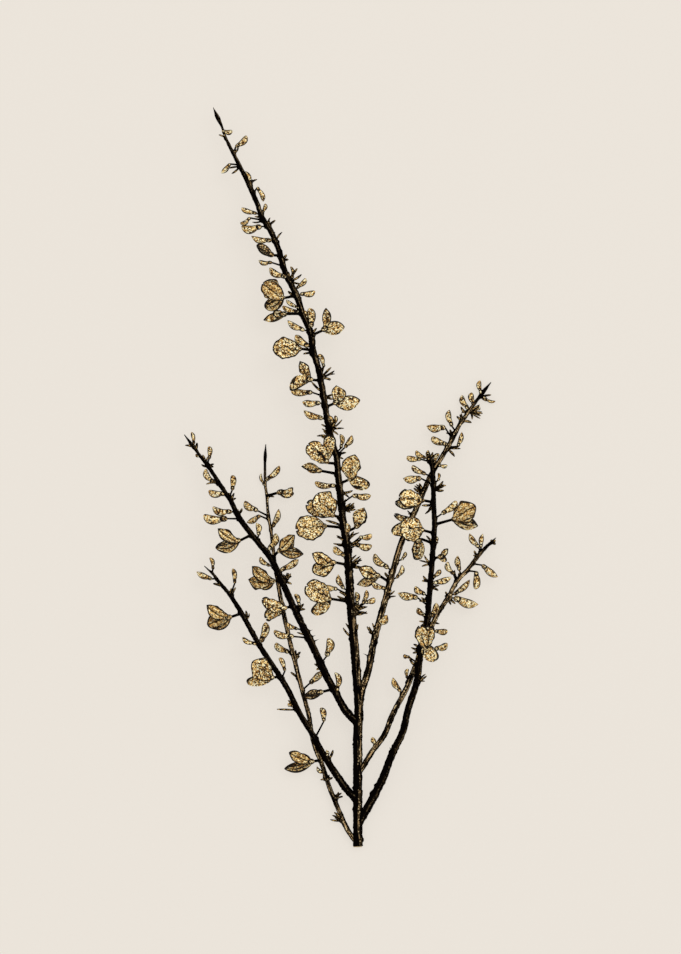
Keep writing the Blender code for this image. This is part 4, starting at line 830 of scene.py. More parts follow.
BARK_STRETCH = (1.25, 1.25, 0.075)
BARK_GRAIN = 0.55
BARK_PATCHES = 4.5
BARK_SPECKS = 0.55
SPECK_COLOUR = (0.90, 0.72, 0.40, 1.0)
HIGHLIGHT_BAND_CORE = 0.6
BROWN_PATCHES = 0.30
BROWN_GRAIN = (0.58, 0.74)
STREAK_SHARES = (1.1, 0.15, 0.20)
STREAK_GRAIN = (0.79, 0.85)
SPECK_CHANCE = (0.86, 0.94)

# The bark of each kind of stem. The band of streaks has its middle and its half breadth given, from -1
# at the stem's left to 1 at its right. It lies towards the right side and leaves the left near-black: a
# painted highlight of light from the right, over the bark's own streaks. On the brown stems it covers
# most of the stem. Its strength is given at the foot and at the tip, with the shares of the length between
# which it changes.
BARKS = {
    "main": {"band": (0.42, 0.48), "strengths": (0.50, 0.20), "change": (0.22, 0.38)},
    "dark": {"band": (0.45, 0.50), "strengths": (0.08, 0.04), "change": (0.30, 0.60)},
    "brown": {"band": (0.10, 0.80), "strengths": (0.85, 0.0), "change": (0.88, 0.95)},
}


def bark_finish(name, bark, streak, band, strengths, change):
    """Near-black bark with lengthwise gold-brown streaks, gathered on the right as a painted highlight."""
    finish = Finish(name, gloss=0.0)
    vector = finish.node("ShaderNodeAttribute", {"attribute_name": "bark"}, {}, "Vector")
    across = finish.node("ShaderNodeSeparateXYZ", {}, {0: vector}, "X")
    grown = finish.marked("grown")[0]
    centre, breadth = band
    inputs = {0: vector, 1: BARK_STRETCH}
    drawn_out = finish.node("ShaderNodeVectorMath", {"operation": "MULTIPLY"}, inputs)
    grain = finish.cloud(drawn_out, BARK_GRAIN, detail=3.0)
    patches = finish.cloud(finish.millimetres(), BARK_PATCHES)
    specks = finish.flecks(finish.millimetres(), BARK_SPECKS)
    foot, tip = strengths
    strength = foot - (foot - tip) * finish.step(grown, *change)
    # Painted highlight: the streaks and the bright specks in them fade out away from the band on the stem's
    # right.
    strength = strength * (1.0 - finish.step(abs(across - centre), HIGHLIGHT_BAND_CORE * breadth, breadth))
    brown = finish.step(grain + BROWN_PATCHES * patches, *BROWN_GRAIN) * strength
    colour = finish.mix(brown, (*bark, 1.0), (*(BROWN_SHARE * channel for channel in streak), 1.0))
    by_grain, by_patch, by_speck = STREAK_SHARES
    gold = finish.step(by_grain * grain + by_patch * patches + by_speck * specks, *STREAK_GRAIN) * strength
    colour = finish.mix(gold, colour, (*streak, 1.0))
    colour = finish.mix(finish.step(specks, *SPECK_CHANCE) * gold, colour, SPECK_COLOUR)
    roughness = 0.70 - 0.15 * grain
    return finish.surface(colour, roughness, metallic=0.15 * gold, height=grain, depth=0.25)


LEAF_FLECK = 0.6
LEAF_PATCHES = 1.5
LEAF_GOLD = (0.55, 0.36, 0.14, 1.0)
LEAF_GOLD_SHARES = (0.6, 0.8, 0.5)
LEAF_GOLD_CHANCE = (0.66, 0.80)


def leaf_finish(name, ink):
    """Dark dry leaf with a few gold flecks along its middle."""
    finish = Finish(name, gloss=0.0)
    place = finish.millimetres()
    across = finish.marked("round")[0]
    chance = finish.flecks(place, LEAF_FLECK)
    cloud = finish.cloud(place, LEAF_PATCHES)
    by_fleck, by_patch, towards_edge = LEAF_GOLD_SHARES
    gold = finish.step(by_fleck * chance + by_patch * cloud - towards_edge * abs(across), *LEAF_GOLD_CHANCE)
    colour = finish.mix(gold, ink, LEAF_GOLD)
    roughness = 0.62 - 0.2 * gold
    return finish.surface(colour, roughness, metallic=0.3 * gold, height=cloud, depth=0.15)


WOOD_STOPS = [(0.15, (0.16, 0.09, 0.035)), (0.45, (0.52, 0.36, 0.17)), (0.75, (0.86, 0.72, 0.46))]
WOOD_FIBRE = 0.35
WOOD_PATCHES = 0.9
WOOD_FIBRE_SHARE = 0.5
WOOD_PATCH_SHARE = 0.6


def wood_finish(name):
    """The pale torn wood of the cut end, in fibres of darker and lighter brown."""
    finish = Finish(name)
    place = finish.millimetres()
    fibres = finish.flecks(place, WOOD_FIBRE)
    cloud = finish.cloud(place, WOOD_PATCHES)
    colour = finish.ramp(WOOD_FIBRE_SHARE * fibres + WOOD_PATCH_SHARE * cloud, WOOD_STOPS)
    roughness = 0.75 - 0.1 * cloud
    return finish.surface(colour, roughness, metallic=0.0, height=fibres, depth=0.2)


PAPER_PATCHES = 1.5
PAPER_MOTTLING = 0.04


def table_finish(name, colour, glow):
    """Smooth pale paper, mottled very faintly and lit partly from below as on a light table."""
    finish = Finish(name)
    cloud = finish.cloud(finish.millimetres(), PAPER_PATCHES, detail=4.0)
    darker, lighter = (
        (*(shade * ((1 - glow) * channel) for channel in colour), 1.0)
        for shade in (1 - PAPER_MOTTLING, 1 + PAPER_MOTTLING)
    )
    finish.shader.inputs["Emission Color"].default_value = (*colour, 1.0)
    finish.shader.inputs["Emission Strength"].default_value = glow
    mottled = finish.mix(cloud, darker, lighter)
    roughness = 0.85 + 0.05 * cloud
    return finish.surface(mottled, roughness, metallic=0.0, height=cloud, depth=0.03)


def select_only(*things):
    bpy.ops.object.select_all(action="DESELECT")
    for thing in things:
        thing.select_set(True)
    bpy.context.view_layer.objects.active = things[0]


def add_grid(name, columns, rows):
    """A flat grid from -1 to 1 both ways, to be shaped corner by corner."""
    bpy.ops.object.select_all(action="DESELECT")
    bpy.ops.mesh.primitive_grid_add(x_subdivisions=columns, y_subdivisions=rows, size=2.0)
    thing = bpy.context.object
    thing.name = name
    return thing


def mark(thing, name, values):
    """Store three values for each corner of the mesh under a name, for the finish to read."""
    layer = thing.data.attributes.new(name, "FLOAT_VECTOR", "POINT")
    layer.data.foreach_set("vector", [number for value in values for number in value])


TUBE_SEAM = 0.001
BARK_SEAM = 1e-6
"""How near to each other corners are sewn together, in the units of a straight tube and in metres."""


def face_outwards():
    """In edit mode, select everything and turn its faces outwards."""
    bpy.ops.mesh.select_all(action="SELECT")
    bpy.ops.mesh.normals_make_consistent(inside=False)


def sew_up(seam):
    """Sew the rolled grid along its seam, fill both ends and turn its faces outwards."""
    bpy.ops.object.mode_set(mode="EDIT")
    bpy.ops.mesh.select_all(action="SELECT")
    bpy.ops.mesh.remove_doubles(threshold=seam)
    bpy.ops.mesh.fill_holes(sides=0)
    face_outwards()
    bpy.ops.object.mode_set(mode="OBJECT")


def add_tube(name, sides, rings):
    """A straight closed tube of radius 1 from y 0 to y 1: a grid rolled up, sewn and filled at its ends."""
    thing = add_grid(name, sides, rings)
    places = []
    for knot in thing.data.vertices:
        turn = math.pi * (1.0 - knot.co.x)
        knot.co = (math.cos(turn), (knot.co.y + 1.0) / 2, math.sin(turn))
        places.append((knot.co.x, knot.co.z, knot.co.y))
    mark(thing, "round", places)
    sew_up(TUBE_SEAM)
    return thing


def copy_shaped(form, name, place):
    """A copy of a form with its own mesh, each corner moved to where place puts it, in millimetres."""
    thing = bpy.data.objects.new(name, form.data.copy())
    bpy.context.scene.collection.objects.link(thing)
    for knot in thing.data.vertices:
        knot.co = place(knot.co) * MM
    return thing


def apply_modifier(thing, kind, **settings):
    select_only(thing)
    modifier = thing.modifiers.new(kind.lower(), kind)
    for key, value in settings.items():
        setattr(modifier, key, value)
    bpy.ops.object.modifier_apply(modifier=modifier.name)


def joined(name, things):
    """All the things as one object."""
    select_only(*things)
    if len(things) > 1:
        bpy.ops.object.join()
    whole = bpy.context.object
    whole.name = name
    return whole


SMOOTH_ANGLE = math.radians(50)


def finished(thing, material, slot, *nodes):
    """Smooth the piece, give it its material and let it stand for its nodes. The slot is not used."""
    thing.data.materials.clear()
    thing.data.materials.append(material)
    select_only(thing)
    bpy.ops.object.shade_smooth_by_angle(angle=SMOOTH_ANGLE)
    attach(thing, "root")
    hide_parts(*nodes)


def remove(*things):
    for thing in things:
        bpy.data.objects.remove(thing, do_unlink=True)


# The bark's forms, in millimetres, or in shares of the radius where a name says so. A spiked stem is stouter
# just below its tip.
RIDGE_TWIST = 0.02
GRAIN_WAVES = [(0.5, 1.1), (1.3, 0.9)]
KNOT_WAVES = (0.6, 1.3)
KNOT_LEAST = 0.20
KNOT_HEIGHT_SHARE = 1.0
SWELL_REACH = 2.6
SWELL_SPREAD = 0.9
ROOT_FLARE_SHARE = 0.22
ROOT_FLARE_REACH = 3.5
SPIKED_STEMS = {"main", "left_inner", "left_thin", "right_inner"}
SPIKE_HEIGHT = 0.38
SPIKE_PLACE = 5.5
SPIKE_SPREAD = 3.2


def swellings(stem, buds, leaves, thorns):
    """Where something leaves the stem: the arc length of its foot, and the way that it goes."""
    places = []
    ends = [(foot, base) for foot, base, _, _ in buds] + [*leaves, *thorns]
    ends += [stem.bloom_axis(bloom)[:2] for bloom in stem.blooms]
    for foot, end in ends:
        i = stem.nearest(foot.x, foot.y)
        places.append((stem.arcs[i], (end - stem.frames[i][0]).normalized()))
    return places


def waves(middle, out, along, around):
    """Noise on a stem, that changes so fast along it and round it."""
    return noise.noise(middle * along + out * around)


def hump(distance, spread):
    """A smooth hump of height 1 over distance 0."""
    return math.exp(-((distance / spread) ** 2))


def make_bark(stem, places, settings):
    """A stem's bark: ridged and uneven, swollen at each foot, flared at the fork, flat against the table."""
    rings = len(stem.points)
    thing = add_grid(f"{stem.name}_bark", settings.sides, rings - 1)
    swelling = settings.swelling / MM
    cover = settings.cover / MM
    marks = []
    grown = []
    for knot in thing.data.vertices:
        i = round((knot.co.y + 1.0) / 2 * (rings - 1))
        turn = math.pi * (1.0 - knot.co.x)
        middle, right, up, radius = stem.frames[i]
        out = right * math.cos(turn) + up * math.sin(turn)
        arc = stem.arcs[i]
        share = 1.0 + settings.ridge_height * math.cos(settings.ridges * turn + RIDGE_TWIST * arc)
        share += settings.grain * sum(waves(middle, out, *speeds) for speeds in GRAIN_WAVES)
        if stem.name != "main":
            share += ROOT_FLARE_SHARE * math.exp(-arc / ROOT_FLARE_REACH)
        reach = radius * share + cover * min(radius, 1.0)
        reach += KNOT_HEIGHT_SHARE * radius * max(0.0, waves(middle, out, *KNOT_WAVES) - KNOT_LEAST) ** 2
        if stem.name in SPIKED_STEMS:
            reach += SPIKE_HEIGHT * hump(stem.arcs[-1] - arc - SPIKE_PLACE, SPIKE_SPREAD)
        for place, way in places:
            if abs(arc - place) < SWELL_REACH:
                lean = max(0.0, out.dot(way))
                reach += swelling * lean * lean * hump(arc - place, SWELL_SPREAD)
        spot = middle + out * reach
        spot.z = max(spot.z, 0.0)
        knot.co = spot * MM
        marks.append((math.cos(turn), math.sin(turn), arc))
        grown.append((arc / stem.arcs[-1], 0.0, 0.0))
    mark(thing, "bark", marks)
    mark(thing, "grown", grown)
    sew_up(BARK_SEAM)
    return thing


AHEAD = 0.01
"""How far to either side of a share of its way a line's direction is taken."""


def lay_tube(form, name, line, girth):
    """A copy of the straight tube laid along a line, as thick as the girth says at each share of its way."""
    def place(spot):
        ahead = (line(spot.y + AHEAD) - line(spot.y - AHEAD)).normalized()
        right = ahead.cross(UP).normalized()
        return line(spot.y) + (right * spot.x + right.cross(ahead) * spot.z) * girth(spot.y)
    return copy_shaped(form, name, place)


def bowed(start, end, bow):
    """A line from start to end that bows by a vector at its middle."""
    def line(share):
        return start.lerp(end, share) + bow * (4 * share * (1 - share))
    return line


def bark_of(thing):
    """Stalks and thorns carry the bark's own marks, so that its finish fits them."""
    places = [tuple(item.vector) for item in thing.data.attributes["round"].data]
    mark(thing, "bark", places)
    mark(thing, "grown", [(1.0, 0.0, 0.0)] * len(places))
    thing.data.attributes.remove(thing.data.attributes["round"])


# Stalks and thorns. Radii are in millimetres, at the foot and at the end, and a bow is a share of the length.
STALK_SIDES = 8
STALK_RINGS = 10
STALK_BOW = 0.10
BUD_STALK_RADII = (0.65, 0.42)
BLOOM_STALK_RADII = (0.95, 0.68)
THORN_RADIUS = 0.6
THORN_POINT = 0.02


def lay_stalk(form, foot, end, radii):
    """A stalk from its foot on the stem, bowed upwards, thick at the foot and thin from the middle on."""
    first, last = radii
    line = bowed(foot, end, UP * (end - foot).length * STALK_BOW)
    return lay_tube(form, "stalk", line, lambda share: last + (first - last) * (1 - share) ** 3)


def thorn_girth(share):
    """Thinner in step with the way, to a small blunt point."""
    return THORN_RADIUS * (1.0 + THORN_POINT - share)


class BROOM_OT_stems(bpy.types.Operator):
    """Grow the bark of every stem, with its thorns and the stalks of its buds and blooms"""

    bl_idname = "broom.stems"
    bl_label = "Grow stems"

    def execute(self, context):
        settings = context.scene.broom_stems
        colours = tuple(settings.bark_colour), tuple(settings.streak_colour)
        finishes = {kind: bark_finish(f"{kind}_bark", *colours, **look) for kind, look in BARKS.items()}
        form = add_tube("stalk_form", STALK_SIDES, STALK_RINGS)
        bark_of(form)
        for stem in all_stems(context):
            buds, leaves, thorns = stem.growth()
            parts = [make_bark(stem, swellings(stem, buds, leaves, thorns), settings)]
            for foot, base, _, _ in buds:
                parts.append(lay_stalk(form, foot, base, BUD_STALK_RADII))
            for bloom in stem.blooms:
                foot, start, _ = stem.bloom_axis(bloom)
                parts.append(lay_stalk(form, foot, start, BLOOM_STALK_RADII))
            for foot, tip in thorns:
                line = bowed(foot, tip, Vector())
                parts.append(lay_tube(form, "thorn", line, thorn_girth))
            piece = joined(f"{stem.name}_bark", parts)
            if stem.name == "main":
                finished(piece, finishes["main"], "dark_bark", "main_stem")
            elif stem.name in BROWN_STEMS:
                finished(piece, finishes["brown"], "brown_bark", f"{stem.name}_stem")
            else:
                finished(piece, finishes["dark"], "dark_bark", f"{stem.name}_stem")
        remove(form)
        return {"FINISHED"}


# The cut end's plug of wood: its radius and each inset as shares of the stem's radius, and its length, how
# deep it sits in the bark and how far its torn face frays, in millimetres.
CUT_SIDES = 24
CUT_INSETS = 5
CUT_RADIUS_SHARE = 0.93
CUT_INSET_SHARE = 0.16
CUT_LENGTH = 1.2
CUT_DEPTH = 1.0
CUT_FRAY = 0.45
CUT_FRAYS = (-0.5, 1.0)


class BROOM_OT_cut_end(bpy.types.Operator):
    """Make the torn wood at the main stem's cut end"""

    bl_idname = "broom.cut_end"
    bl_label = "Make cut end"

    def execute(self, context):
        x, y, z, thickness = MAIN_ROUTE[0]
        radius = CUT_RADIUS_SHARE * thickness / 2 * MM
        bpy.ops.object.select_all(action="DESELECT")
        bpy.ops.mesh.primitive_circle_add(vertices=CUT_SIDES, radius=radius, fill_type="NGON")
        thing = bpy.context.object
        bpy.ops.object.mode_set(mode="EDIT")
        bpy.ops.mesh.select_all(action="SELECT")
        bpy.ops.mesh.extrude_region_move(TRANSFORM_OT_translate={"value": (0.0, 0.0, CUT_LENGTH * MM)})
        for _ in range(CUT_INSETS):
            bpy.ops.mesh.inset(thickness=CUT_INSET_SHARE * thickness / 2 * MM, depth=0.0)
        bpy.ops.mesh.poke()
        face_outwards()
        bpy.ops.object.mode_set(mode="OBJECT")
        draw = random.Random(f"cut end {SEED}")
        for knot in thing.data.vertices:
            across, up, out = knot.co / MM
            if out > CUT_DEPTH:
                out += draw.uniform(*CUT_FRAYS) * CUT_FRAY
            knot.co = Vector((x + across, y + CUT_DEPTH - out, max(z + up, 0.0))) * MM
        bpy.ops.object.mode_set(mode="EDIT")
        face_outwards()
        bpy.ops.object.mode_set(mode="OBJECT")
        thing.name = "main_cut_end"
        finished(thing, wood_finish("cut_wood"), "cut_wood", "main_stem")
        return {"FINISHED"}


# A bud's pod, in shares of its length and its radius.
POD_BASE = 0.60
POD_TIP = 0.10
POD_SEAM = 0.04
POD_DENT = 0.14
POD_DENT_WAVES = 2.2
POD_ROUNDING = 2.2
POD_FIELD = 50.0
BELLY_OUTWARD = 0.8
POD_KINDS = [(0.64, 0.45), (0.60, 0.50), (0.54, 0.66), (0.47, 0.86)]
"""Kinds of buds, from blunt to pointed: where they are fullest, and how fast they narrow from there."""


def pod_girth(share, fullest, narrowing):
    """A pod's girth from its base to its tip: nearly straight sides, then a round or pointed end."""
    if share < fullest:
        return POD_BASE + (1 - POD_BASE) * math.sin(math.pi / 2 * share / fullest)
    return max((1 - ((share - fullest) / (1 - fullest)) ** POD_ROUNDING) ** narrowing, POD_TIP)


def belly_side(along, outward):
    """The side that a bud's belly lies to: down the stem, and for an upright bud away from the stem."""
    side = UP.cross(along).normalized()
    towards = Vector((0.0, -1.0, 0.0)) + BELLY_OUTWARD * outward
    return side if side.dot(towards) >= 0 else -side


def with_radius(thing, radius):
    """Note the piece's own radius beside its marks, so that slim and stout ones have equally broad edges."""
    for item in thing.data.attributes["round"].data:
        item.vector[1] = radius
    return thing


def lay_pod(form, base, tip, thickness, belly, bend, depth):
    """A copy of a pod laid from its base to its tip, curved in the plane of its belly."""
    length = (tip - base).length
    along = (tip - base).normalized()
    up = belly.cross(along)
    radius = thickness / 2

    def place(spot):
        middle = base + along * spot.y * length
        curve = 4 * spot.y * (1 - spot.y) * bend * length
        return middle + belly * (curve + spot.x * radius) + up * spot.z * radius * depth

    return with_radius(copy_shaped(form, "pod", place), radius)


def pod_form(number, settings):
    """A bud's form: a tube drawn in at both ends, with a seam along its back and its belly, and dents."""
    draw = random.Random(f"pod {number} {SEED}")
    shift = Vector([draw.uniform(0.0, POD_FIELD) for _ in range(3)])
    form = add_tube("pod_form", settings.sides, settings.rings)
    for knot in form.data.vertices:
        knot.co.y = 0.5 - 0.5 * math.cos(math.pi * knot.co.y)
        girth = pod_girth(knot.co.y, *POD_KINDS[number])
        seam = 1.0 + POD_SEAM * abs(knot.co.x) ** 6
        dent = 1.0 + POD_DENT * noise.noise(knot.co * POD_DENT_WAVES + shift)
        knot.co.x *= girth * seam * dent
        knot.co.z *= girth * dent
    return form


# The calyx's cup, as shares of its length and radius: how far up each ring lies and how wide it is, how far
# its lips reach out, and how thick its wall is.
CALYX_RINGS = [(0.0, 0.40), (0.2, 0.84), (0.5, 1.0), (0.8, 0.96), (1.0, 1.02)]
CALYX_SIDES = 14
CALYX_LIP = 0.22
CALYX_WALL = 0.12


def calyx_form():
    """A small cup of length 1 and radius 1: a disc pulled up ring by ring, its rim drawn into two lips."""
    bpy.ops.object.select_all(action="DESELECT")
    bpy.ops.mesh.primitive_circle_add(vertices=CALYX_SIDES, radius=CALYX_RINGS[0][1], fill_type="NGON")
    thing = bpy.context.object
    thing.name = "calyx_form"
    bpy.ops.object.mode_set(mode="EDIT")
    bpy.ops.mesh.select_all(action="SELECT")
    for (below, girth), (above, wider) in zip(CALYX_RINGS, CALYX_RINGS[1:]):
        bpy.ops.mesh.extrude_region_move(TRANSFORM_OT_translate={"value": (0.0, 0.0, above - below)})
        bpy.ops.transform.resize(value=(wider / girth, wider / girth, 1.0), center_override=(0.0, 0.0, above))
    bpy.ops.mesh.delete(type="ONLY_FACE")
    face_outwards()
    bpy.ops.object.mode_set(mode="OBJECT")
    places = []
    for knot in thing.data.vertices:
        turn = math.atan2(knot.co.y, knot.co.x)
        share = knot.co.z
        knot.co.z += CALYX_LIP * math.cos(2 * turn) * share ** 3
        places.append((math.sin(turn), math.cos(turn), share))
    mark(thing, "round", places)
    apply_modifier(thing, "SOLIDIFY", thickness=CALYX_WALL, offset=-1.0)
    return thing


def lay_calyx(form, start, lean, length, radius):
    """A copy of the cup, its base at start and its mouth where it leans, with the lips above and below."""
    side = lean.cross(UP).normalized()
    up = side.cross(lean)

    def place(spot):
        return start + side * spot.y * radius + up * spot.x * radius + lean * spot.z * length

    return with_radius(copy_shaped(form, "calyx", place), radius)


# How a bud sits in its calyx: where its pod starts, the calyx's length and radius, how far back it starts,
# its least radius, and how strongly a bud bends, drawn between two values.
POD_START = 0.16
BUD_CALYX_SHARE = 0.27
BUD_CALYX_RADIUS = 0.70
BUD_CALYX_BACK = 0.3
BUD_CALYX_LEAST = 0.8
BUD_BENDS = (0.5, 1.6)


class BROOM_OT_buds(bpy.types.Operator):
    """Make the curved buds of every stem, each in its small calyx"""

    bl_idname = "broom.buds"
    bl_label = "Make buds"

    def execute(self, context):
        settings = context.scene.broom_buds
        ink = (*context.scene.broom_petals.ink_colour, 1.0)
        gold = pod_finish("bud_gold", GOLD_STOPS, ink, rim=0.25, end=0.99)
        rimmed = pod_finish("bud_calyx_gold", BROWN_STOPS, ink, rim=0.32, end=0.74)
        pods = [pod_form(number, settings) for number in range(len(POD_KINDS))]
        cup = calyx_form()
        for stem in all_stems(context):
            buds = stem.growth()[0]
            draw = random.Random(f"{stem.name} buds {SEED}")
            bodies = []
            cups = []
            for foot, base, tip, thickness in buds:
                along = (tip - base).normalized()
                belly = belly_side(along, (base - foot).normalized())
                bend = settings.curve * draw.uniform(*BUD_BENDS)
                pod = draw.choice(pods)
                start = base.lerp(tip, POD_START)
                bodies.append(lay_pod(pod, start, tip, thickness, belly, bend, settings.depth))
                lean = (along + belly * bend).normalized()
                length = (tip - base).length * BUD_CALYX_SHARE
                start = base - lean * BUD_CALYX_BACK
                radius = max(BUD_CALYX_RADIUS * thickness / 2, BUD_CALYX_LEAST)
                cups.append(lay_calyx(cup, start, lean, length, radius))
            node = f"{stem.name}_stem"
            finished(joined(f"{stem.name}_buds", bodies), gold, "gold_bud", node)
            finished(joined(f"{stem.name}_bud_calyces", cups), rimmed, "gold_bud", node)
        remove(cup, *pods)
        return {"FINISHED"}


# A leaf, in shares of its length and its half width, with turns in degrees, and the young leaf beside it.
LEAF_COLUMNS = 2
LEAF_ROWS = 6
LEAF_FOLD = 0.35
LEAF_FOOT_BREADTH = 0.55
LEAF_TIP_CUT = 0.9
LEAF_ROLL = 35.0
LEAF_BREADTHS = (0.7, 1.2)
LEAF_BOWS = (-0.06, 0.10)
LEAF_TURNS = (-0.12, 0.12)
YOUNG_TURNS = (22.0, 48.0)
YOUNG_LENGTHS = (0.6, 0.95)


def leaf_form():
    """A narrow leaf of length 1 and half width 1, folded along its middle, with a blunt tip."""
    thing = add_grid("leaf_form", LEAF_COLUMNS, LEAF_ROWS)
    places = []
    for knot in thing.data.vertices:
        share = (knot.co.y + 1.0) / 2
        breadth = min(LEAF_FOOT_BREADTH + share, 1.0) * math.sqrt(1.0 - LEAF_TIP_CUT * share ** 5)
        places.append((knot.co.x, 0.0, share))
        knot.co = (knot.co.x * breadth, share, abs(knot.co.x) * LEAF_FOLD * breadth)
    mark(thing, "round", places)
    return thing


def young_leaf(root, tip, draw):
    """The root and tip of the shorter leaf beside a leaf."""
    turn = math.radians(draw.choice([-1, 1]) * draw.uniform(*YOUNG_TURNS))
    reach = Matrix.Rotation(turn, 3, UP) @ (tip - root)
    return root, root + reach * draw.uniform(*YOUNG_LENGTHS)


class BROOM_OT_leaves(bpy.types.Operator):
    """Make the narrow leaves in their tufts"""

    bl_idname = "broom.leaves"
    bl_label = "Make leaves"

    def execute(self, context):
        settings = context.scene.broom_buds
        ink = (*context.scene.broom_petals.ink_colour, 1.0)
        dark = leaf_finish("leaf_dark", ink)
        form = leaf_form()
        for stem in all_stems(context):
            draw = random.Random(f"{stem.name} leaves {SEED}")
            blades = []
            leaves = stem.growth()[1]
            for root, tip in leaves + [young_leaf(root, tip, draw) for root, tip in leaves]:
                along = (tip - root).normalized()
                roll = Matrix.Rotation(math.radians(draw.uniform(-LEAF_ROLL, LEAF_ROLL)), 3, along)
                side = roll @ along.cross(UP).normalized()
                up = side.cross(along)
                length = (tip - root).length
                half = settings.leaf_width / 2 / MM * draw.uniform(*LEAF_BREADTHS)
                bow = up * draw.uniform(*LEAF_BOWS) + side * draw.uniform(*LEAF_TURNS)
                sag = bow * length

                def place(spot):
                    middle = root + along * spot.y * length
                    return middle + (side * spot.x + up * spot.z) * half + sag * 4 * spot.y * (1 - spot.y)

                blades.append(copy_shaped(form, "leaf", place))
            piece = joined(f"{stem.name}_leaves", blades)
            apply_modifier(piece, "SOLIDIFY", thickness=settings.leaf_thickness, offset=0.0)
            finished(piece, dark, "dark_leaf", f"{stem.name}_stem")
        remove(form)
        return {"FINISHED"}


# The calyx of a bloom and its petals: sizes in millimetres, or in shares of a petal's width or half width.
CUP_RADIUS = 1.5
CUP_RIM = 0.42
CUP_TIP = 0.82
PETAL_BASE = 0.40
PETAL_SHARP = 0.9
PETAL_BLUNTING = 0.6
PETAL_RAG = 0.28
PETAL_RAG_WAVES = (2.5, 5.0)
PETAL_SET_BACK = 1.0
PETAL_NOTCH = 0.12
PETAL_NOTCH_SPREAD = 0.22
PETAL_FLANK_BULGE = 0.09
PETAL_BELLY_SHIFT = 0.08
CREASE_SPREAD = 0.10
CRUMPLE_WAVES = (1.6, 2.4)
CRUMPLE_MIDDLE = 0.35
RUFFLE_COUNTS = (2.2, 3.6)
RUFFLE_STARTS = (0.0, 6.0)
RUFFLE_LEAN = 1.7
NOISE_FIELD = 90.0
LEAST_CHORD = 1e-6
BANDS = [(0.30, 0.95, 0.30), (0.62, 0.86, 0.55)]
"""The wings over a keel or a hood: where they start across it, how far along and how high over it they go."""


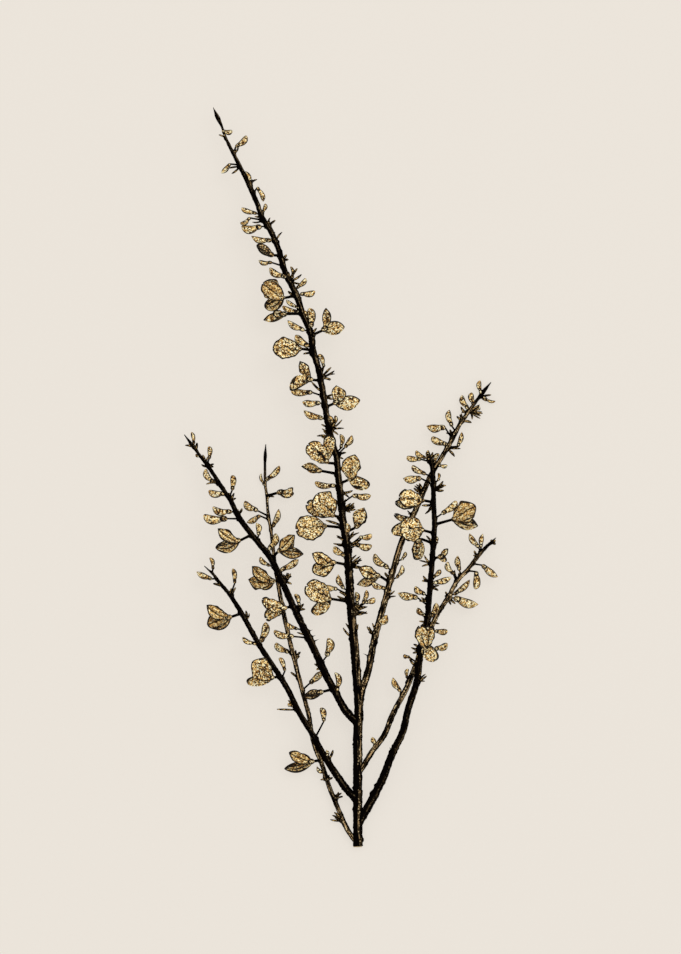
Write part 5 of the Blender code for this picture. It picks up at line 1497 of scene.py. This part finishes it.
class Petal:
    """One petal of a bloom, laid where its solid is, with the waves and creases of a dry one."""

    def __init__(self, root, petal, look, draw, ruffles, settings):
        kind, dx, dy, self.width = petal
        self.form = PETAL_FORMS[kind]
        self.end, self.drawn = look
        self.folded = "belly" in self.form
        self.run = Vector((dx, dy, self.form["rise"] + draw.uniform(-PETAL_SWAY, PETAL_SWAY)))
        self.bend = math.radians(self.form["bend"] * draw.uniform(*PETAL_BENDS))
        self.along = self.run.normalized()
        self.foot = root + Vector((0.0, 0.0, self.form["foot"] * CALYX_RADIUS)) - self.along * PETAL_SET_BACK
        self.run += self.along * PETAL_SET_BACK
        self.side = UP.cross(self.along).normalized()
        if self.side.y * self.form.get("belly", 1) < 0:
            self.side = -self.side
        self.up = self.side.cross(self.along)
        if self.up.z < 0:
            self.up = -self.up
        self.shift = Vector([ruffles.uniform(0.0, NOISE_FIELD) for _ in range(3)])
        self.waves = ruffles.uniform(*RUFFLE_COUNTS)
        self.phase = ruffles.uniform(*RUFFLE_STARTS)
        self.ruffle = settings.ruffle
        self.crumple = settings.crumple / MM
        self.crease = settings.crease / MM

    def breadth(self, v):
        """Share of the full width at v: a narrow claw, the widest place, then a round end."""
        swing = v ** (math.log(0.5) / math.log(self.form["widest"]))
        blunt = PETAL_SHARP - PETAL_BLUNTING * self.end
        return math.sin(math.pi * min(swing, 1.0)) ** (PETAL_BASE + (blunt - PETAL_BASE) * v)

    def bumps(self, u, v, waves):
        """Noise over the petal, which changes so fast across it and along it."""
        return noise.noise(Vector((waves[0] * u, waves[1] * v, 0.0)) + self.shift)

    def unevenness(self, u, v):
        """How far the dry petal stands up or lies down here, least along its middle."""
        share = CRUMPLE_MIDDLE + (1 - CRUMPLE_MIDDLE) * u * u
        return self.crumple * self.bumps(u, v, CRUMPLE_WAVES) * share

    def point(self, u, v):
        """The place at u across the petal, from -1 to 1, and v along it, from 0 to 1."""
        spine = self.foot + self.run * v + self.side * self.drawn * self.width / 2 * math.sin(math.pi * v)
        if self.folded:
            return spine + self.flank(u, v)
        across = self.side * math.cos(self.bend) - self.up * math.sin(self.bend)
        over = self.up * math.cos(self.bend) + self.side * math.sin(self.bend)
        rag = PETAL_RAG * u * u * self.bumps(u, v, PETAL_RAG_WAVES)
        half = self.width / 2 / math.cos(self.bend) * self.breadth(v) * (1 + rag)
        arch = PETAL_ARCH * self.width * math.sin(math.pi * v)
        curl = PETAL_CURL * half * u * u
        turn = math.pi * self.waves * v + self.phase + RUFFLE_LEAN * u
        wave = self.ruffle * half * u * u * math.sin(turn)
        crease = self.crease * hump(u, CREASE_SPREAD) * math.sin(math.pi * v)
        notch = PETAL_NOTCH * max(self.end, 0.0) * hump(u, PETAL_NOTCH_SPREAD) * v**8
        lift = arch + curl + wave - crease + self.unevenness(u, v)
        return spine - self.run * notch + across * half * u + over * lift

    def flank(self, u, v):
        """From the fold: the upper flank lies level where u is over 0, the lower one opens under it."""
        breadth = self.width * self.breadth(v)
        fold = self.side * (breadth / 2 + PETAL_BELLY_SHIFT * self.width * math.sin(math.pi * v))
        bulge = PETAL_FLANK_BULGE * breadth * math.sin(math.pi * abs(u))
        uneven = self.unevenness(u, v)
        if u >= 0:
            return fold - self.side * breadth * u + self.up * (bulge + uneven)
        opened = self.side * math.cos(self.bend) + self.up * math.sin(self.bend)
        return fold + opened * breadth * u - self.up * (bulge - uneven)

    def band_point(self, x, v, start, reach, height):
        """The place at x, from -1 to 1, and v on a wing that lies over the petal's upper flank."""
        return self.point(start + (1 - start) * (0.5 + 0.5 * x), v * reach) + self.up * height

    def make(self, settings, banded):
        """The petal's own thin shell, and the wings over a keel or a hood where they show."""
        bands = BANDS if self.folded and banded else []
        return [self.shell(settings), *(self.shell(settings, band) for band in bands)]

    def shell(self, settings, band=None):
        """A square grid rounded to a disc, so that its margin runs evenly, then placed and made thick."""
        half = self.width / 2 if band is None else self.width * (1 - band[0]) / 2
        thing = add_grid("petal", settings.columns, settings.columns)
        blades = []
        margins = []
        for knot in thing.data.vertices:
            x = knot.co.x * math.sqrt(1 - knot.co.y**2 / 2)
            y = knot.co.y * math.sqrt(1 - knot.co.x**2 / 2)
            u = min(max(x / math.sqrt(max(1 - y * y, LEAST_CHORD)), -1.0), 1.0)
            v = min(max((y + 1) / 2, 0.0), 1.0)
            spot = self.point(u, v) if band is None else self.band_point(x, v, *band)
            knot.co = spot * MM
            blades.append((u, v, half * self.breadth(v)))
            rim = (1 - min(math.hypot(x, y), 1.0)) * min(half, self.run.length / 2)
            margins.append((rim, 1.0 if self.folded else 0.0, 0.0))
        mark(thing, "blade", blades)
        mark(thing, "margin", margins)
        apply_modifier(thing, "SOLIDIFY", thickness=settings.thickness, offset=0.0)
        return thing


class BROOM_OT_blooms(bpy.types.Operator):
    """Make the petals and the calyx of every bloom"""

    bl_idname = "broom.blooms"
    bl_label = "Make blooms"

    def execute(self, context):
        settings = context.scene.broom_petals
        ink = (*settings.ink_colour, 1.0)
        gold = petal_finish("petal_gold", GOLD_STOPS, ink)
        lined_gold = petal_finish("petal_lined_gold", GOLD_STOPS, ink, lined=True)
        brown = petal_finish("petal_brown", BROWN_STOPS, ink, lined=True)
        husk = pod_finish("calyx_gold", BROWN_STOPS, ink, CUP_RIM, CUP_TIP)
        cup = calyx_form()
        for stem in all_stems(context):
            for i, bloom in enumerate(stem.blooms):
                name = f"{stem.name}_bloom_{i + 1:02d}"
                draw = random.Random(f"{name} {SEED}")
                ruffles = random.Random(f"{name} ruffles {SEED}")
                _, start, lean = stem.bloom_axis(bloom)
                root = start + lean * CALYX_LENGTH * PETAL_ROOT
                shells = []
                for (kind, dx, dy, width), look in zip(bloom[2], PETAL_LOOKS[name]):
                    reach = Vector((dx, dy, 0.0)) - (root - start)
                    petal = Petal(root, (kind, reach.x, reach.y, width), look, draw, ruffles, settings)
                    shells += petal.make(settings, name in LINED_BLOOMS)
                piece = joined(f"{name}_petals", shells)
                if name in BROWN_BLOOMS:
                    finished(piece, brown, "brown_petal", name)
                elif name in LINED_BLOOMS:
                    finished(piece, lined_gold, "gold_petal", name)
                else:
                    finished(piece, gold, "gold_petal", name)
                calyx = joined(f"{name}_calyx", [lay_calyx(cup, start, lean, CALYX_LENGTH, CUP_RADIUS)])
                finished(calyx, husk, "brown_petal", name)
        remove(cup)
        return {"FINISHED"}


# The stage. The sensor, the focus plane and the frame's centre are in millimetres, the rest is in metres.
SENSOR = 36.0
FOCUS_PLANE = 12.0
FRAME_CENTRE = (
    (PHOTO_WIDTH / 2 - PHOTO_MIDDLE[0]) * PIXEL,
    (PHOTO_MIDDLE[1] - PHOTO_HEIGHT / 2) * PIXEL,
)
LAMP_PLACE = (0.9, 1.1, 2.2)
LAMP_SIZE = 1.6
CLIP_END = 50.0
WHITE = (1.0, 1.0, 1.0, 1.0)


class BROOM_OT_stage(bpy.types.Operator):
    """Lay the table, and set the light and the camera over it"""

    bl_idname = "broom.stage"
    bl_label = "Set stage"

    def execute(self, context):
        settings = context.scene.broom_stage
        bpy.ops.object.select_all(action="DESELECT")
        bpy.ops.mesh.primitive_plane_add(size=settings.floor_size)
        floor = bpy.context.object
        floor.name = "table_top"
        paper = table_finish("table_paper", tuple(settings.floor_colour), settings.floor_glow)
        floor.data.materials.append(paper)

        world = bpy.data.worlds.new("even_light")
        context.scene.world = world
        world.use_nodes = True
        sky = world.node_tree.nodes["Background"]
        sky.inputs["Color"].default_value = WHITE
        sky.inputs["Strength"].default_value = settings.sky_strength

        bpy.ops.object.light_add(type="AREA", location=LAMP_PLACE)
        lamp = bpy.context.object
        lamp.name = "soft_lamp"
        lamp.data.shape = "DISK"
        lamp.data.size = LAMP_SIZE
        lamp.data.energy = settings.lamp_power
        lamp.rotation_euler = Vector(LAMP_PLACE).to_track_quat("Z", "Y").to_euler()

        height = FOCUS_PLANE * MM + settings.camera_height
        bpy.ops.object.camera_add(location=(FRAME_CENTRE[0] * MM, FRAME_CENTRE[1] * MM, height))
        camera = bpy.context.object
        camera.name = "view_from_above"
        camera.data.sensor_width = SENSOR
        camera.data.lens = SENSOR * settings.camera_height / (PHOTO_HEIGHT * PIXEL * MM)
        camera.data.clip_end = CLIP_END
        context.scene.camera = camera
        context.scene.view_settings.view_transform = "Standard"
        return {"FINISHED"}


STEPS = ["stems", "cut_end", "buds", "leaves", "blooms", "stage"]
GROUPS = {
    "broom_stems": StemSettings,
    "broom_buds": BudSettings,
    "broom_petals": PetalSettings,
    "broom_stage": StageSettings,
}


class BROOM_PT_spray(bpy.types.Panel):
    """The spray's settings, and a button for each of its steps"""

    bl_label = "Broom spray"
    bl_space_type = "VIEW_3D"
    bl_region_type = "UI"
    bl_category = "Broom spray"

    def draw(self, context):
        for step in STEPS:
            self.layout.operator(f"broom.{step}")
        for group, kind in GROUPS.items():
            box = self.layout.box()
            for setting in kind.__annotations__:
                box.prop(getattr(context.scene, group), setting)


CLASSES = [
    *GROUPS.values(), BROOM_OT_stems, BROOM_OT_cut_end, BROOM_OT_buds, BROOM_OT_leaves, BROOM_OT_blooms,
    BROOM_OT_stage, BROOM_PT_spray,
]


def register():
    for kind in CLASSES:
        bpy.utils.register_class(kind)
    for group, kind in GROUPS.items():
        setattr(bpy.types.Scene, group, PointerProperty(type=kind))


def unregister():
    for group in GROUPS:
        delattr(bpy.types.Scene, group)
    for kind in reversed(CLASSES):
        bpy.utils.unregister_class(kind)


def main():
    register()
    for step in STEPS:
        getattr(bpy.ops.broom, step)()


if __name__ == "__main__":
    main()
